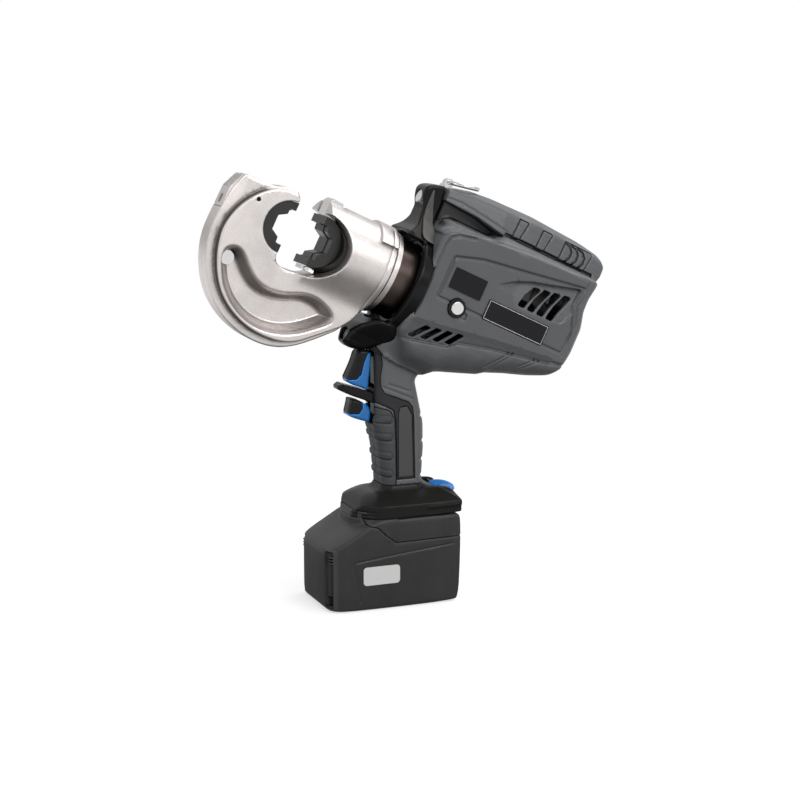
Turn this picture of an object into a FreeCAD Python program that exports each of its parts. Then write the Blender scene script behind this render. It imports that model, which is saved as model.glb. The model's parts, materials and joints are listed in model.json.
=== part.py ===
"""Cordless hydraulic crimping tool with a C-shaped head, standing on its slide-on battery pack.

Millimetres, +Z up. The origin is the middle of the battery's flat base. The head points to -X, the
tail of the barrel to +X, and the two housing halves meet on the plane y = 0.

The head, pump and motor are drawn in the barrel's own frame (u, y, w): u runs along the barrel axis
towards the tail, w points up from that axis, and barrel() turns the finished piece into place.
The handle, foot and battery are drawn straight in (x, y, z).
"""
import FreeCAD, Part

import math
import os

from FreeCAD import Placement, Rotation, Vector

# ---------------------------------------------------------------- fits and walls
FIT = 0.05            # radial running fit of a shaft or ram in its bore
GAP = 0.4             # clear space between bodies that move past each other
SEAT_GAP = 0.3        # clear space round a soft part in its seat
WALL = 2.8            # moulded wall of the housing and the battery
SKIN = 1.6            # depth of a rubber insert or a plate pocket

# ---------------------------------------------------------------- barrel frame
TILT = 26.0           # the barrel leans, head up, by this many degrees
BARREL_X = 3.9        # where the barrel axis meets the bearing, over the battery base
BARREL_Z = 281.8

# ---------------------------------------------------------------- dies and ram
DIE_R = 22.0          # radius of the round back of a U-shaped die
DIE_WIDTH = 33.0
DIE_LAND = 11.0       # width of the crimping land in the middle of a die
DIE_EDGE = 0.6         # how far the land stands in from the die's sides
DIE_GAP = 27.0        # between the two die faces with the ram home
FIXED_FACE_U = -101.0
STROKE = 26.5
RAM_R = 23.95
RAM_REAR_U = -17.0
SPRING_R = 7.5
SPRING_WIRE_R = 1.1
SPRING_TURNS = 8

# ---------------------------------------------------------------- head forging
HEAD_T = 38.0         # thickness of the C plate
RIM_T = 22.0          # thickness of the raised rim band
RIM_STEP = 3.0        # how far the band stands out round the edge
HEAD_R = 66.0         # round back of the C
HEAD_U = -87.0        # centre of that round
HEAD_W = -28.0
HOOK_TOP_W = 27.8      # height of the hook over the dies' axis
WEB_T = 14.0          # thickness left between the two side pockets
CYL_R = 36.0
CYL_FRONT_U = -75.0
SLOT_REAR_U = -56.5    # end of the slot over the ram, for the die retainer
CYL_REAR_U = -9.0
CROSS_BORE_R = 27.5
CROSS_BORE_U = -76.0
CROSS_BORE_W = -3.0
THROAT_W = -30.5      # floor of the mouth
POCKET_LIP = 1.5      # sloping lip round the side pockets
LOCK_PIN_R = 3.0
LOCK_TRAVEL = 3.0
LOCK_REACH = 6.5       # how far the lock block stands out behind the C plate

# ---------------------------------------------------------------- swivel
NECK_R = 26.0
NECK_FLANGE_T = 4.4
NECK_REAR_U = 18.0
SPIGOT_R = 12.0
RING_R = 34.0         # outer radius of the bronze bearing ring
COLLAR_R = 46.0
COLLAR_BORE_R = 40.0
COLLAR_FRONT_U = 11.0
COLLAR_REAR_U = 22.0

# ---------------------------------------------------------------- pump, gears and motor
PUMP_R = 30.0
PUMP_FRONT_U = 20.0
PUMP_LENGTH = 36.0
DRIVE_W = 8.0         # height of the motor axis over the barrel axis
MODULE = 0.8
SUN_TEETH = 12
PLANET_TEETH = 18
RING_TEETH = 48
GEAR_WIDTH = 10.0
MOTOR_R = 22.0
MOTOR_LENGTH = 62.0
SHAFT_R = 2.5

# ---------------------------------------------------------------- housing
BODY_HALF = 43.0      # half-width of the barrel housing
SPINE_HALF = 27.0     # half-width of the spine on top of it
BODY_ROUND = 9.0
SPINE_ROUND = 8.0
SPINE_FRONT_W = 88.5  # height of the spine at its front end, from the barrel axis
SPINE_TOP_W = 97.5    # and where it is highest
SPINE_REAR_W = 93.5
BODY_TOP_W = 65.0     # height of the barrel housing beside the spine
TAIL_U = 176.0        # rear end of the housing
HANDLE_HALF = 17.5
HANDLE_ROUND = 9.0

# ---------------------------------------------------------------- controls
TRIGGER_HALF = 8.0
CHEEK_T = 1.6
UPPER_TRAVEL = 5.0
LOWER_TRAVEL = 4.0
BUTTON_R = 5.7
BUTTON_TRAVEL = 1.5
RING_WIRE_R = 1.75    # hanging ring
RING_MAJOR_R = 14.0
RING_BAR_HALF = 5.0

# ---------------------------------------------------------------- battery and foot
PACK_L = 113.0
PACK_W = 79.0
PACK_TOP = 77.0
NOSE_HALF = 24.0
PACK_CORNER = 6.0
CELL_R = 9.2
CELL_L = 65.0
CELL_PITCH = 19.4
FOOT_GAP = 1.0        # seam between foot and battery
FOOT_FRONT = -33.0
FOOT_REAR = 60.0
FOOT_HALF = 37.5
FOOT_BAND = 12.0
FOOT_HEIGHT = 20.0
RAIL_IN = 20.0        # rails: inner face, stem outer face, flange outer face
RAIL_STEM = 24.0
RAIL_OUT = 28.0
RAIL_STEM_H = 3.6
RAIL_FLANGE_H = 2.4


# ================================================================ drawing helpers
def box(x0, x1, y0, y1, z0, z1):
    return Part.makeBox(x1 - x0, y1 - y0, z1 - z0, Vector(x0, y0, z0))


def rod_x(r, x0, x1, z=0.0, y=0.0):
    return Part.makeCylinder(r, x1 - x0, Vector(x0, y, z), Vector(1, 0, 0))


def rod_y(r, y0, y1, x, z):
    return Part.makeCylinder(r, y1 - y0, Vector(x, y0, z), Vector(0, 1, 0))


def rod_z(r, z0, z1, x, y):
    return Part.makeCylinder(r, z1 - z0, Vector(x, y, z0), Vector(0, 0, 1))


def tube_x(outer, inner, x0, x1, z=0.0):
    return rod_x(outer, x0, x1, z).cut(rod_x(inner, x0 - 1, x1 + 1, z))


def rounded_wire(points):
    """Closed outline in the x-z plane. Each point is (x, z) or (x, z, corner radius)."""
    n = len(points)
    at = [Vector(p[0], 0, p[1]) for p in points]
    radius = [p[2] if len(p) > 2 else 0.0 for p in points]
    corners = []
    for i in range(n):
        back = at[i - 1] - at[i]
        ahead = at[(i + 1) % n] - at[i]
        half = back.getAngle(ahead) / 2
        if radius[i] <= 0 or half > math.radians(89.5):
            corners.append((at[i], None, at[i]))
            continue
        room = 0.48 * min(back.Length, ahead.Length)
        reach = min(radius[i] / math.tan(half), room)
        back.normalize()
        ahead.normalize()
        start = at[i] + back * reach
        end = at[i] + ahead * reach
        middle = back + ahead
        middle.normalize()
        r = reach * math.tan(half)
        via = at[i] + middle * (r / math.sin(half) - r)
        corners.append((start, via, end))
    edges = []
    for i in range(n):
        start, via, end = corners[i]
        if via is not None:
            edges.append(Part.Arc(start, via, end).toShape())
        following = corners[(i + 1) % n][0]
        if (following - end).Length > 1e-6:
            edges.append(Part.LineSegment(end, following).toShape())
    return Part.Wire(edges)


def prism(outline, y0, y1):
    """A solid between y0 and y1. outline is a list of points or a ready wire."""
    wire = outline if isinstance(outline, Part.Wire) else rounded_wire(outline)
    face = Part.Face(wire)
    face.translate(Vector(0, y0, 0))
    return face.extrude(Vector(0, y1 - y0, 0))


def inset(outline, distance):
    """The outline moved inwards (or outwards, if distance is negative) by an even distance."""
    face = Part.Face(outline if isinstance(outline, Part.Wire) else rounded_wire(outline))
    return face.makeOffset2D(-distance, 0, False, False, False).OuterWire


def plate_edges(solid, y):
    """The edges that lie in the plane of constant y."""
    found = []
    for edge in solid.Edges:
        bounds = edge.BoundBox
        if abs(bounds.YMin - y) < 1e-4 and abs(bounds.YMax - y) < 1e-4:
            found.append(edge)
    return found


def soft_prism(outline, half, radius):
    """A prism from -half to half whose two flat faces have rounded edges."""
    solid = prism(outline, -half, half)
    return solid.makeFillet(radius, plate_edges(solid, half) + plate_edges(solid, -half))


def rounded_block(x0, x1, half_y, z0, z1, corner):
    """A block with rounded upright corners."""
    solid = box(x0, x1, -half_y, half_y, z0, z1)
    upright = [e for e in solid.Edges if abs(e.BoundBox.ZLength - (z1 - z0)) < 1e-4]
    return solid.makeFillet(corner, upright)


def barrel(shape):
    """Turns a piece drawn in the barrel frame into its place on the tool."""
    placed = shape.copy()
    lean = Placement(Vector(BARREL_X, 0, BARREL_Z), Rotation(Vector(0, 1, 0), TILT))
    placed.Placement = lean.multiply(placed.Placement)
    return placed


def single(shape):
    """The one solid in a boolean result."""
    return shape.Solids[0] if len(shape.Solids) == 1 else shape


def gear(teeth, width, bore, u0, w, phase=0.0, internal_rim=0.0):
    """A straight-toothed gear along the barrel axis, with trapezium teeth.

    phase is an angle in tooth pitches. With internal_rim, the teeth are cut into a rim instead.
    """
    pitch_r = MODULE * teeth / 2
    slack = 0.07 if internal_rim else -0.07
    high = pitch_r + (0.9 * MODULE if not internal_rim else 1.1 * MODULE)
    low = pitch_r - (1.1 * MODULE if not internal_rim else 0.9 * MODULE)
    step = 2 * math.pi / teeth
    points = []
    for i in range(teeth):
        centre = (i + phase) * step
        wide = 0.25 * step + 0.13 * step + slack / pitch_r
        narrow = 0.25 * step - 0.13 * step + slack / pitch_r
        for angle, r in ((-wide, low), (-narrow, high), (narrow, high), (wide, low)):
            points.append((r * math.cos(centre + angle), r * math.sin(centre + angle)))
    ring = [Vector(u0, y, w + z) for y, z in points]
    outline = Part.makePolygon(ring + [ring[0]])
    toothed = Part.Face(outline).extrude(Vector(width, 0, 0))
    if internal_rim:
        return rod_x(pitch_r + internal_rim, u0, u0 + width, w).cut(toothed)
    return toothed.cut(rod_x(bore, u0 - 1, u0 + width + 1, w)) if bore else toothed


# ================================================================ values worked out from those above
MOVING_FACE_U = FIXED_FACE_U + DIE_GAP
SEAT_R = DIE_R + 0.3
RAM_FRONT_U = MOVING_FACE_U + 10.0
RAM_BORE_R = RAM_R + FIT
NECK_FRONT_U = CYL_REAR_U + NECK_FLANGE_T
RING_FRONT_U = NECK_FRONT_U + GAP
NUT_T = 3.6
NUT_FRONT_U = NECK_REAR_U - NUT_T
RING_REAR_U = NUT_FRONT_U - GAP
PUMP_REAR_U = PUMP_FRONT_U + PUMP_LENGTH
GEAR_U = PUMP_REAR_U + 8.0
CARRIER_DISC_T = 3.0
MOTOR_FRONT_U = GEAR_U + GEAR_WIDTH + CARRIER_DISC_T + 5.0
MOTOR_REAR_U = MOTOR_FRONT_U + MOTOR_LENGTH
PLANET_OFFSET = MODULE * (SUN_TEETH + PLANET_TEETH) / 2
RING_RIM = 3.6
BODY_INNER = BODY_HALF - WALL
FOOT_BOTTOM = PACK_TOP + FOOT_GAP
FOOT_TOP = FOOT_BOTTOM + FOOT_HEIGHT
RAIL_TOP = PACK_TOP + RAIL_STEM_H + RAIL_FLANGE_H


# ================================================================ head
def die_cavity(side, grow, y0, y1):
    """The stepped half-hexagon in a die face. side is +1 for the ram's die, -1 for the fixed one."""
    face = MOVING_FACE_U if side > 0 else FIXED_FACE_U
    depths = ((-1.0, 14.5), (4.6, 14.5), (5.0, 9.6), (12.0, 5.6))
    upper = [(face + side * (d + grow), h + grow) for d, h in depths]
    upper[0] = (face - side, depths[0][1] + grow)
    outline = upper + [(u, -w) for u, w in reversed(upper)]
    return prism(outline, y0, y1)


def die(side):
    face = MOVING_FACE_U if side > 0 else FIXED_FACE_U
    half = DIE_WIDTH / 2
    body = rod_y(DIE_R, -half, half, face, 0)
    keep = sorted((face, face + side * (DIE_R + 1)))
    body = body.common(box(keep[0], keep[1], -half, half, -DIE_R - 1, DIE_R + 1))
    body = body.cut(die_cavity(side, 0.0, -half - 1, half + 1))
    for y0, y1 in ((-half - 1, -DIE_LAND / 2), (DIE_LAND / 2, half + 1)):
        body = body.cut(die_cavity(side, DIE_EDGE, y0, y1))
    if side < 0:
        body = body.cut(rod_x(LOCK_PIN_R + GAP, face - DIE_R - 1, face - DIE_R + 3.5))
    return body


def head_outline():
    """Edge of the C plate, before the mouth is cut."""
    def on_back(degrees):
        angle = math.radians(degrees)
        return Vector(HEAD_U + HEAD_R * math.cos(angle), 0, HEAD_W + HEAD_R * math.sin(angle))
    start, via, end = on_back(147), on_back(-135), on_back(-52)
    hook_u = FIXED_FACE_U - 1.0
    corners = [end, Vector(CYL_REAR_U - 3, 0, -CYL_R - 10.5), Vector(CYL_REAR_U - 3, 0, 0),
               Vector(CROSS_BORE_U, 0, 0), Vector(CROSS_BORE_U, 0, HOOK_TOP_W), Vector(hook_u - 11, 0, HOOK_TOP_W),
               Vector(hook_u - 24, 0, HOOK_TOP_W - 3.5), start]
    edges = [Part.Arc(start, via, end).toShape()]
    for a, b in zip(corners, corners[1:]):
        edges.append(Part.LineSegment(a, b).toShape())
    return Part.Wire(edges)


def mouth():
    """Everything that is open between the hook and the cylinder."""
    half = HEAD_T
    hook_u = FIXED_FACE_U - 1.0
    seat = rod_y(SEAT_R, -half, half, FIXED_FACE_U, 0)
    cross = rod_y(CROSS_BORE_R, -half, half, CROSS_BORE_U, CROSS_BORE_W)
    gap = prism([(hook_u, 60), (hook_u, THROAT_W + 2, 6), (hook_u + 8, THROAT_W, 6),
                 (CROSS_BORE_U, THROAT_W), (CROSS_BORE_U, 60)], -half, half)
    return seat.fuse([cross, gap])


def side_pocket(side):
    """The crescent pocket in one side of the C plate, with sloping walls."""
    back = HEAD_U - HEAD_R
    low = HEAD_W - HEAD_R

    def ring(grow, y):
        def at(u, w):
            return Vector(u, y, w)
        left = (at(back + 9.5 + grow, -37.5), at(back + 20 + 0.3 * grow, -28.5 - grow), at(back + 31 - 0.7 * grow, -39 - grow))
        right = (at(-48 + 0.5 * grow, -41 - grow), at(-32 - grow, -51), at(-40 - 0.7 * grow, -62.5 + 0.5 * grow))
        edges = [Part.Arc(*left).toShape(),
                 Part.Arc(left[2], at(-92, -52.5 - grow), right[0]).toShape(),
                 Part.Arc(*right).toShape(),
                 Part.Arc(right[2], at(HEAD_U, low + 8.5 + grow), left[0]).toShape()]
        return Part.Wire(edges)
    outer = ring(-1.0, side * (HEAD_T / 2 + 1))
    floor = ring(3.0, side * WEB_T / 2)
    lip_top = ring(-1.0 - 2 * POCKET_LIP, side * (HEAD_T / 2 + POCKET_LIP))
    lip_foot = ring(0.0, side * (HEAD_T / 2 - POCKET_LIP))
    return [Part.makeLoft([outer, floor], True, True), Part.makeLoft([lip_top, lip_foot], True, True)]


def c_head():
    outline = head_outline()
    half = HEAD_T / 2
    plate = prism(outline, -half, half)
    band = prism(inset(outline, -RIM_STEP), -RIM_T / 2, RIM_T / 2)
    band = band.common(box(-400, CYL_REAR_U - 5, -half, half, -400, HOOK_TOP_W + RIM_STEP))
    left = HEAD_U - HEAD_R
    boss_top = HOOK_TOP_W - 1.8
    boss = prism([(FIXED_FACE_U - 11, 0), (FIXED_FACE_U - 11, HOOK_TOP_W + 2), (FIXED_FACE_U - 24, boss_top, 4),
                  (left + 12, boss_top, 2), (left + 3, boss_top - 0.6), (left - 1, -8), (left + 20, -20)],
                 -RIM_T / 2, RIM_T / 2)
    cylinder = rod_x(CYL_R, CYL_FRONT_U, CYL_REAR_U)
    pad = rod_x(CYL_R + 2.5, CYL_REAR_U - 17, CYL_REAR_U)
    pad = pad.common(box(-400, 400, -CYL_R, CYL_R, CYL_R * 0.6, CYL_R * 2))
    solid = plate.fuse([band, boss, cylinder, pad])
    solid = solid.cut(mouth())
    solid = solid.cut(rod_x(RAM_BORE_R, CROSS_BORE_U, CYL_REAR_U + 1))
    solid = solid.cut(box(CYL_FRONT_U - 1, SLOT_REAR_U, -10, 10, 0, CYL_R + 9))
    for side in (1, -1):
        for pocket in side_pocket(side):
            solid = solid.cut(pocket)
    solid = solid.cut(rod_x(LOCK_PIN_R + FIT, HEAD_U - HEAD_R - 12, FIXED_FACE_U))
    solid = solid.cut(rod_y(1.5, -half - 1, half + 1, FIXED_FACE_U - 34, DIE_R - 11))
    solid = solid.cut(lock_block_outline_prism(0.0))
    solid = solid.cut(web_pin())
    return solid.removeSplitter()


def lock_block_outline_prism(bore):
    left = HEAD_U - HEAD_R
    top = DIE_R + 2
    outline = [(left + 4, top + 1), (left, top + 0.4, 2.5), (left - 6, top - 13, 2), (left - LOCK_REACH, -7, 2),
               (left + 4, -7)]
    block = prism(outline, -RIM_T / 2 + 1, RIM_T / 2 - 1)
    if bore:
        block = block.cut(rod_x(bore, left - 12, left + 6))
    return block


def lock_block():
    """Ribbed block on the back of the hook, which guides the die lock pin."""
    block = lock_block_outline_prism(LOCK_PIN_R + FIT)
    left = HEAD_U - HEAD_R
    top = DIE_R + 2
    groove = [(left + 2.7, top + 3.6), (left - 5.1, top - 14), (left - 8.8, top - 12.4), (left - 0.9, top + 5.2)]
    for i in range(4):
        y = -7.2 + 4.2 * i
        block = block.cut(prism(groove, y, y + 1.8))
    mouth_u = left - LOCK_REACH
    return block.cut(rod_x(LOCK_PIN_R + 0.9, mouth_u - 1, mouth_u + 2.4))


def web_pin():
    return rod_y(6.0, -WEB_T / 2 - 3.5, WEB_T / 2 + 3.5, HEAD_U - HEAD_R + 16, HEAD_W - 14.5)


def lock_pin():
    """Spring pin that holds the fixed die by its back."""
    outer_end = HEAD_U - HEAD_R - LOCK_REACH + LOCK_TRAVEL + 0.4
    return rod_x(LOCK_PIN_R, outer_end, FIXED_FACE_U - DIE_R + LOCK_TRAVEL - 0.5)


def ram():
    body = rod_x(RAM_R, RAM_FRONT_U, RAM_REAR_U)
    body = body.cut(rod_y(SEAT_R, -RAM_R - 1, RAM_R + 1, MOVING_FACE_U, 0))
    body = body.cut(rod_x(SPRING_R + SPRING_WIRE_R + 1.4, MOVING_FACE_U + DIE_R + 6, RAM_REAR_U + 1))
    return body.cut(ram_seal())


def ram_seal():
    return tube_x(RAM_R, RAM_R - 2.2, RAM_REAR_U - 6.2, RAM_REAR_U - 3)


def die_retainer():
    """Upper lug on the ram that keeps the moving die in its seat."""
    front = MOVING_FACE_U
    outline = [(front, DIE_R - 3), (front, CYL_R - 1, 1), (front + 2.5, CYL_R + 2.2, 1), (front + 11, CYL_R + 1.4, 1),
               (front + 13, CYL_R - 3, 2), (front + 15, DIE_R + 4, 2), (front + 15, DIE_R - 3)]
    lug = prism(outline, -9, 9)
    lug = lug.cut(rod_x(RAM_R, RAM_FRONT_U, RAM_REAR_U))
    lug = lug.cut(rod_y(SEAT_R, -20, 20, MOVING_FACE_U, 0))
    return max(lug.Solids, key=lambda s: s.Volume)


def die_keeper():
    """Lower plate and rivet under the moving die."""
    front = MOVING_FACE_U
    plate = box(front, front + 12, -7, 7, -DIE_R - 3.6, -DIE_R - 0.2)
    plate = plate.cut(rod_x(RAM_R, RAM_FRONT_U, RAM_REAR_U))
    plate = plate.cut(rod_y(SEAT_R, -20, 20, MOVING_FACE_U, 0))
    rivet = rod_y(1.6, -9, 9, front + 4, -DIE_R - 1.9)
    return max(plate.fuse(rivet).removeSplitter().Solids, key=lambda s: s.Volume)


def return_spring():
    """Tension spring that draws the ram home."""
    start = CYL_REAR_U - 3.0
    length = start - (MOVING_FACE_U + DIE_R + 6 + 2.5)
    pitch = (length - 2 * SPRING_WIRE_R) / SPRING_TURNS
    helix = Part.makeHelix(pitch, pitch * SPRING_TURNS, SPRING_R)
    wire = Part.Wire(helix)
    section = Part.Wire(Part.makeCircle(SPRING_WIRE_R, Vector(SPRING_R, 0, 0), Vector(0, 1, 0)))
    coil = wire.makePipeShell([section], True, True)
    coil.rotate(Vector(0, 0, 0), Vector(0, 1, 0), -90)
    coil.translate(Vector(start - SPRING_WIRE_R, 0, 0))
    return coil


def swivel_neck():
    """Rear flange of the cylinder, plug and hollow journal in one turned piece."""
    plug = rod_x(RAM_BORE_R, CYL_REAR_U - 3, CYL_REAR_U)
    flange = rod_x(CYL_R, CYL_REAR_U, NECK_FRONT_U)
    journal = rod_x(NECK_R, NECK_FRONT_U, NECK_REAR_U)
    neck = plug.fuse([flange, journal]).removeSplitter()
    return neck.cut(rod_x(SPIGOT_R + FIT, CYL_REAR_U + 1, NECK_REAR_U + 1))


def retaining_nut():
    return tube_x(NECK_R + 3.2, NECK_R, NUT_FRONT_U, NECK_REAR_U)


# ================================================================ swivel seat, collar and lamps
def bearing_ring():
    return tube_x(RING_R, NECK_R + FIT, RING_FRONT_U, RING_REAR_U)


LAMP_R = 5.5
LAMP_T = 5.0
UPPER_LAMP_U = 0.0
UPPER_LAMP_W = 72.0
LOWER_LAMP_U = -9.0
LOWER_LAMP_W = -60.0


def front_collar():
    """Black nose ring with an ear over it and one under it, each holding a lamp."""
    sleeve = rod_x(COLLAR_R, COLLAR_FRONT_U, COLLAR_REAR_U)
    upper = prism([(-4, COLLAR_BORE_R), (UPPER_LAMP_U, UPPER_LAMP_W - 10, 6), (UPPER_LAMP_U, UPPER_LAMP_W + 8, 3),
                   (6, SPINE_FRONT_W - 3.5, 3), (17, SPINE_FRONT_W, 2), (17, 0), (-3.5, 0)], -13, 13)
    lower = prism([(0, 0), (20, 0), (31, LOWER_LAMP_W + 14, 3), (20, LOWER_LAMP_W, 5), (10, LOWER_LAMP_W - 6, 5),
                   (0, LOWER_LAMP_W - 8.5, 2), (LOWER_LAMP_U, LOWER_LAMP_W - 7, 3),
                   (LOWER_LAMP_U, LOWER_LAMP_W + 9, 2)], -12, 12)
    collar = sleeve.fuse([upper, lower]).removeSplitter()
    collar = collar.cut(rod_x(COLLAR_BORE_R, -20, COLLAR_FRONT_U))
    collar = collar.cut(rod_x(RING_R, 0, 16))
    collar = collar.cut(rod_x(PUMP_R + 4, 16, 30))
    return collar.cut(lamp_lenses())


def lamp_lenses():
    upper = rod_x(LAMP_R, UPPER_LAMP_U - 0.6, UPPER_LAMP_U + LAMP_T, UPPER_LAMP_W)
    lower = rod_x(LAMP_R, LOWER_LAMP_U - 0.6, LOWER_LAMP_U + LAMP_T, LOWER_LAMP_W)
    return Part.makeCompound([upper, lower])


# ================================================================ pump, gears and motor
PISTON_R = 5.0
ECCENTRIC = 2.2


def pump_block():
    """Pump body with the hollow spigot that feeds the swivelling head."""
    block = rod_x(PUMP_R, PUMP_FRONT_U, PUMP_REAR_U)
    spigot = rod_x(SPIGOT_R, CYL_REAR_U + 1 + GAP, PUMP_FRONT_U + 1)
    block = block.fuse(spigot).removeSplitter()
    block = block.cut(rod_x(3.0, -20, PUMP_FRONT_U + 6))
    block = block.cut(rod_x(12.0, PUMP_REAR_U - 14, PUMP_REAR_U + 1, DRIVE_W))
    piston_u = PUMP_REAR_U - 8
    return block.cut(rod_z(PISTON_R, 0, PUMP_R + 10, piston_u, 0))


def pump_piston():
    foot = DRIVE_W + SHAFT_R + 3.0 + ECCENTRIC + GAP
    return rod_z(PISTON_R - FIT, foot, PUMP_R - 2, PUMP_REAR_U - 8, 0)


def planet_carrier():
    """Disc with three planet pins and the eccentric that works the pump piston."""
    plate_u = PUMP_REAR_U + 2.5
    plate = rod_x(PLANET_OFFSET + 4, plate_u, plate_u + CARRIER_DISC_T, DRIVE_W)
    cam = rod_x(SHAFT_R + 3.0, PUMP_REAR_U - 12, plate_u, DRIVE_W + ECCENTRIC)
    pins = []
    for i in range(3):
        angle = 2 * math.pi * i / 3
        y = PLANET_OFFSET * math.cos(angle)
        w = DRIVE_W + PLANET_OFFSET * math.sin(angle)
        pins.append(rod_x(2.0, plate_u, GEAR_U + GEAR_WIDTH, w, y))
    return plate.fuse([cam] + pins).removeSplitter()


def planet(i):
    angle = 2 * math.pi * i / 3
    y = PLANET_OFFSET * math.cos(angle)
    w = PLANET_OFFSET * math.sin(angle)
    # a tooth gap of the planet faces a tooth of the sun
    turns = (angle + math.pi) / (2 * math.pi / PLANET_TEETH)
    wheel = gear(PLANET_TEETH, GEAR_WIDTH, 2.0 + FIT, GEAR_U, DRIVE_W, turns + 0.5)
    wheel.translate(Vector(0, y, w))
    return wheel


def ring_gear():
    toothed = gear(RING_TEETH, GEAR_WIDTH, 0, GEAR_U, DRIVE_W, 0.5, RING_RIM)
    sleeve = tube_x(MODULE * RING_TEETH / 2 + RING_RIM, PLANET_OFFSET + 4 + 2, PUMP_REAR_U, GEAR_U, DRIVE_W)
    cover = tube_x(MODULE * RING_TEETH / 2 + RING_RIM, 11, GEAR_U + GEAR_WIDTH, MOTOR_FRONT_U, DRIVE_W)
    return toothed.fuse([sleeve, cover]).removeSplitter()


def rotor():
    """Armature, shaft, sun gear and cooling fan."""
    sun = gear(SUN_TEETH, GEAR_WIDTH, 0, GEAR_U, DRIVE_W)
    shaft = rod_x(SHAFT_R, GEAR_U + GEAR_WIDTH - 0.5, MOTOR_REAR_U + 14, DRIVE_W)
    core = rod_x(MOTOR_R - 5, MOTOR_FRONT_U + 12, MOTOR_REAR_U - 14, DRIVE_W)
    hub = rod_x(6, MOTOR_REAR_U + 5, MOTOR_REAR_U + 12, DRIVE_W)
    blades = []
    for i in range(8):
        blade = box(MOTOR_REAR_U + 5, MOTOR_REAR_U + 12, 4, MOTOR_R - 3, DRIVE_W - 0.7, DRIVE_W + 0.7)
        blade.rotate(Vector(0, 0, DRIVE_W), Vector(1, 0, 0), 45 * i)
        blades.append(blade)
    return sun.fuse([shaft, core, hub] + blades).removeSplitter()


BEARING_R = 8.0
BEARING_T = 5.0


def motor_can():
    can = rod_x(MOTOR_R, MOTOR_FRONT_U, MOTOR_REAR_U, DRIVE_W)
    can = can.cut(rod_x(MOTOR_R - 4, MOTOR_FRONT_U + 8, MOTOR_REAR_U - 8, DRIVE_W))
    return can.cut(rod_x(BEARING_R, MOTOR_FRONT_U - 1, MOTOR_REAR_U + 1, DRIVE_W))


def motor_bearings():
    pair = []
    for u in (MOTOR_FRONT_U + 1, MOTOR_REAR_U - 1 - BEARING_T):
        pair.append(tube_x(BEARING_R, SHAFT_R + FIT, u, u + BEARING_T, DRIVE_W))
    return Part.makeCompound(pair)


def oil_bladder():
    """Soft oil reservoir that lies on the ribs over the pump."""
    front = PUMP_FRONT_U + 6
    rear = front + 38
    low = RIB_TOP_W + SEAT_GAP
    outline = [(front, low, 5), (front, low + 13, 5), (rear, low + 15, 5), (rear, low, 5)]
    return soft_prism(outline, BLADDER_HALF, 5)


# ================================================================ housing
RIB_TOP_W = 44.0      # top of the ribs that hold the pump
BLADDER_HALF = 16.0
SCOOP_HALF = 13.0     # half-width left between the two hollows under the front of the spine


def body_outline():
    return [(18, -36, 6), (18, BODY_TOP_W - 19, 8), (30, BODY_TOP_W - 5, 10), (100, BODY_TOP_W, 30),
            (TAIL_U - 2, BODY_TOP_W - 3, 8), (TAIL_U + 1, 20, 20), (TAIL_U - 4, -18, 10), (TAIL_U - 26, -30, 20),
            (112, -44, 20), (70, -60, 8), (36, -58, 12)]


def spine_outline():
    return [(17, 40), (17, SPINE_FRONT_W, 4), (40, SPINE_FRONT_W + 5.5, 30), (100, SPINE_TOP_W, 60),
            (TAIL_U - 8, SPINE_REAR_W, 8), (TAIL_U, SPINE_REAR_W - 9.5, 5), (TAIL_U, 40)]


def handle_outline():
    return [(-7, 96), (-7, 114, 30), (-16, 152, 4), (-8, 158, 3), (-8, 219, 3), (8, 240), (46, 214), (29, 192, 8),
            (40, 150, 40), (39, 112, 20), (38.5, 96)]


def scoops(grow):
    """The hollows between the barrel and the front of the spine, one on each side."""
    outline = [(10, BODY_TOP_W - 2), (10, BODY_TOP_W + 13), (44, BODY_TOP_W + 10, 8), (74, BODY_TOP_W + 4, 3),
               (66, BODY_TOP_W - 1, 2)]
    wire = inset(outline, -grow) if grow else rounded_wire(outline)
    return [prism(wire, SCOOP_HALF - grow, 60), prism(wire, -60, -SCOOP_HALF + grow)]


def housing_outer():
    body = soft_prism(body_outline(), BODY_HALF, BODY_ROUND)
    spine = soft_prism(spine_outline(), SPINE_HALF, SPINE_ROUND)
    handle = soft_prism(handle_outline(), HANDLE_HALF, HANDLE_ROUND)
    return barrel(body.fuse(spine).cut(scoops(0))).fuse(handle)


def housing_cavity():
    body = prism(inset(body_outline(), WALL), -BODY_INNER, BODY_INNER)
    spine = prism(inset(spine_outline(), WALL), -SPINE_HALF + WALL, SPINE_HALF - WALL)
    body = body.makeFillet(BODY_ROUND - WALL, plate_edges(body, BODY_INNER) + plate_edges(body, -BODY_INNER))
    handle_half = HANDLE_HALF - WALL
    handle = prism(inset(handle_outline(), WALL), -handle_half, handle_half)
    throat = box(-5, 36, -handle_half, handle_half, 196, 226)
    return barrel(body.fuse(spine).cut(scoops(WALL))).fuse([handle, throat])


def slot_row(points, length_w, lean, width):
    """Slanting ventilation slots through both side walls."""
    slots = []
    for u, w in points:
        slot = prism([(u, w, 1), (u + width, w, 1), (u + width + lean, w + length_w, 1), (u + lean, w + length_w, 1)],
                     -BODY_HALF - 5, BODY_HALF + 5)
        slots.append(slot)
    return slots


SCREWS = ((32, -48), (TAIL_U - 10, -8), (TAIL_U - 11, SPINE_REAR_W - 9.5), (70, 81), (97, 84), (100, -38))


SCREW_HEAD_R = 3.2
SCREW_SINK = 2.4      # how far the screw heads lie under the surface


def screw_face(w):
    return SPINE_HALF if w > BODY_TOP_W else BODY_HALF


def screw_counterbores():
    bores = []
    for u, w in SCREWS:
        face = screw_face(w)
        bores.append(barrel(rod_y(SCREW_HEAD_R + SEAT_GAP, face - SCREW_SINK, face + 1, u, w)))
    return bores


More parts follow.
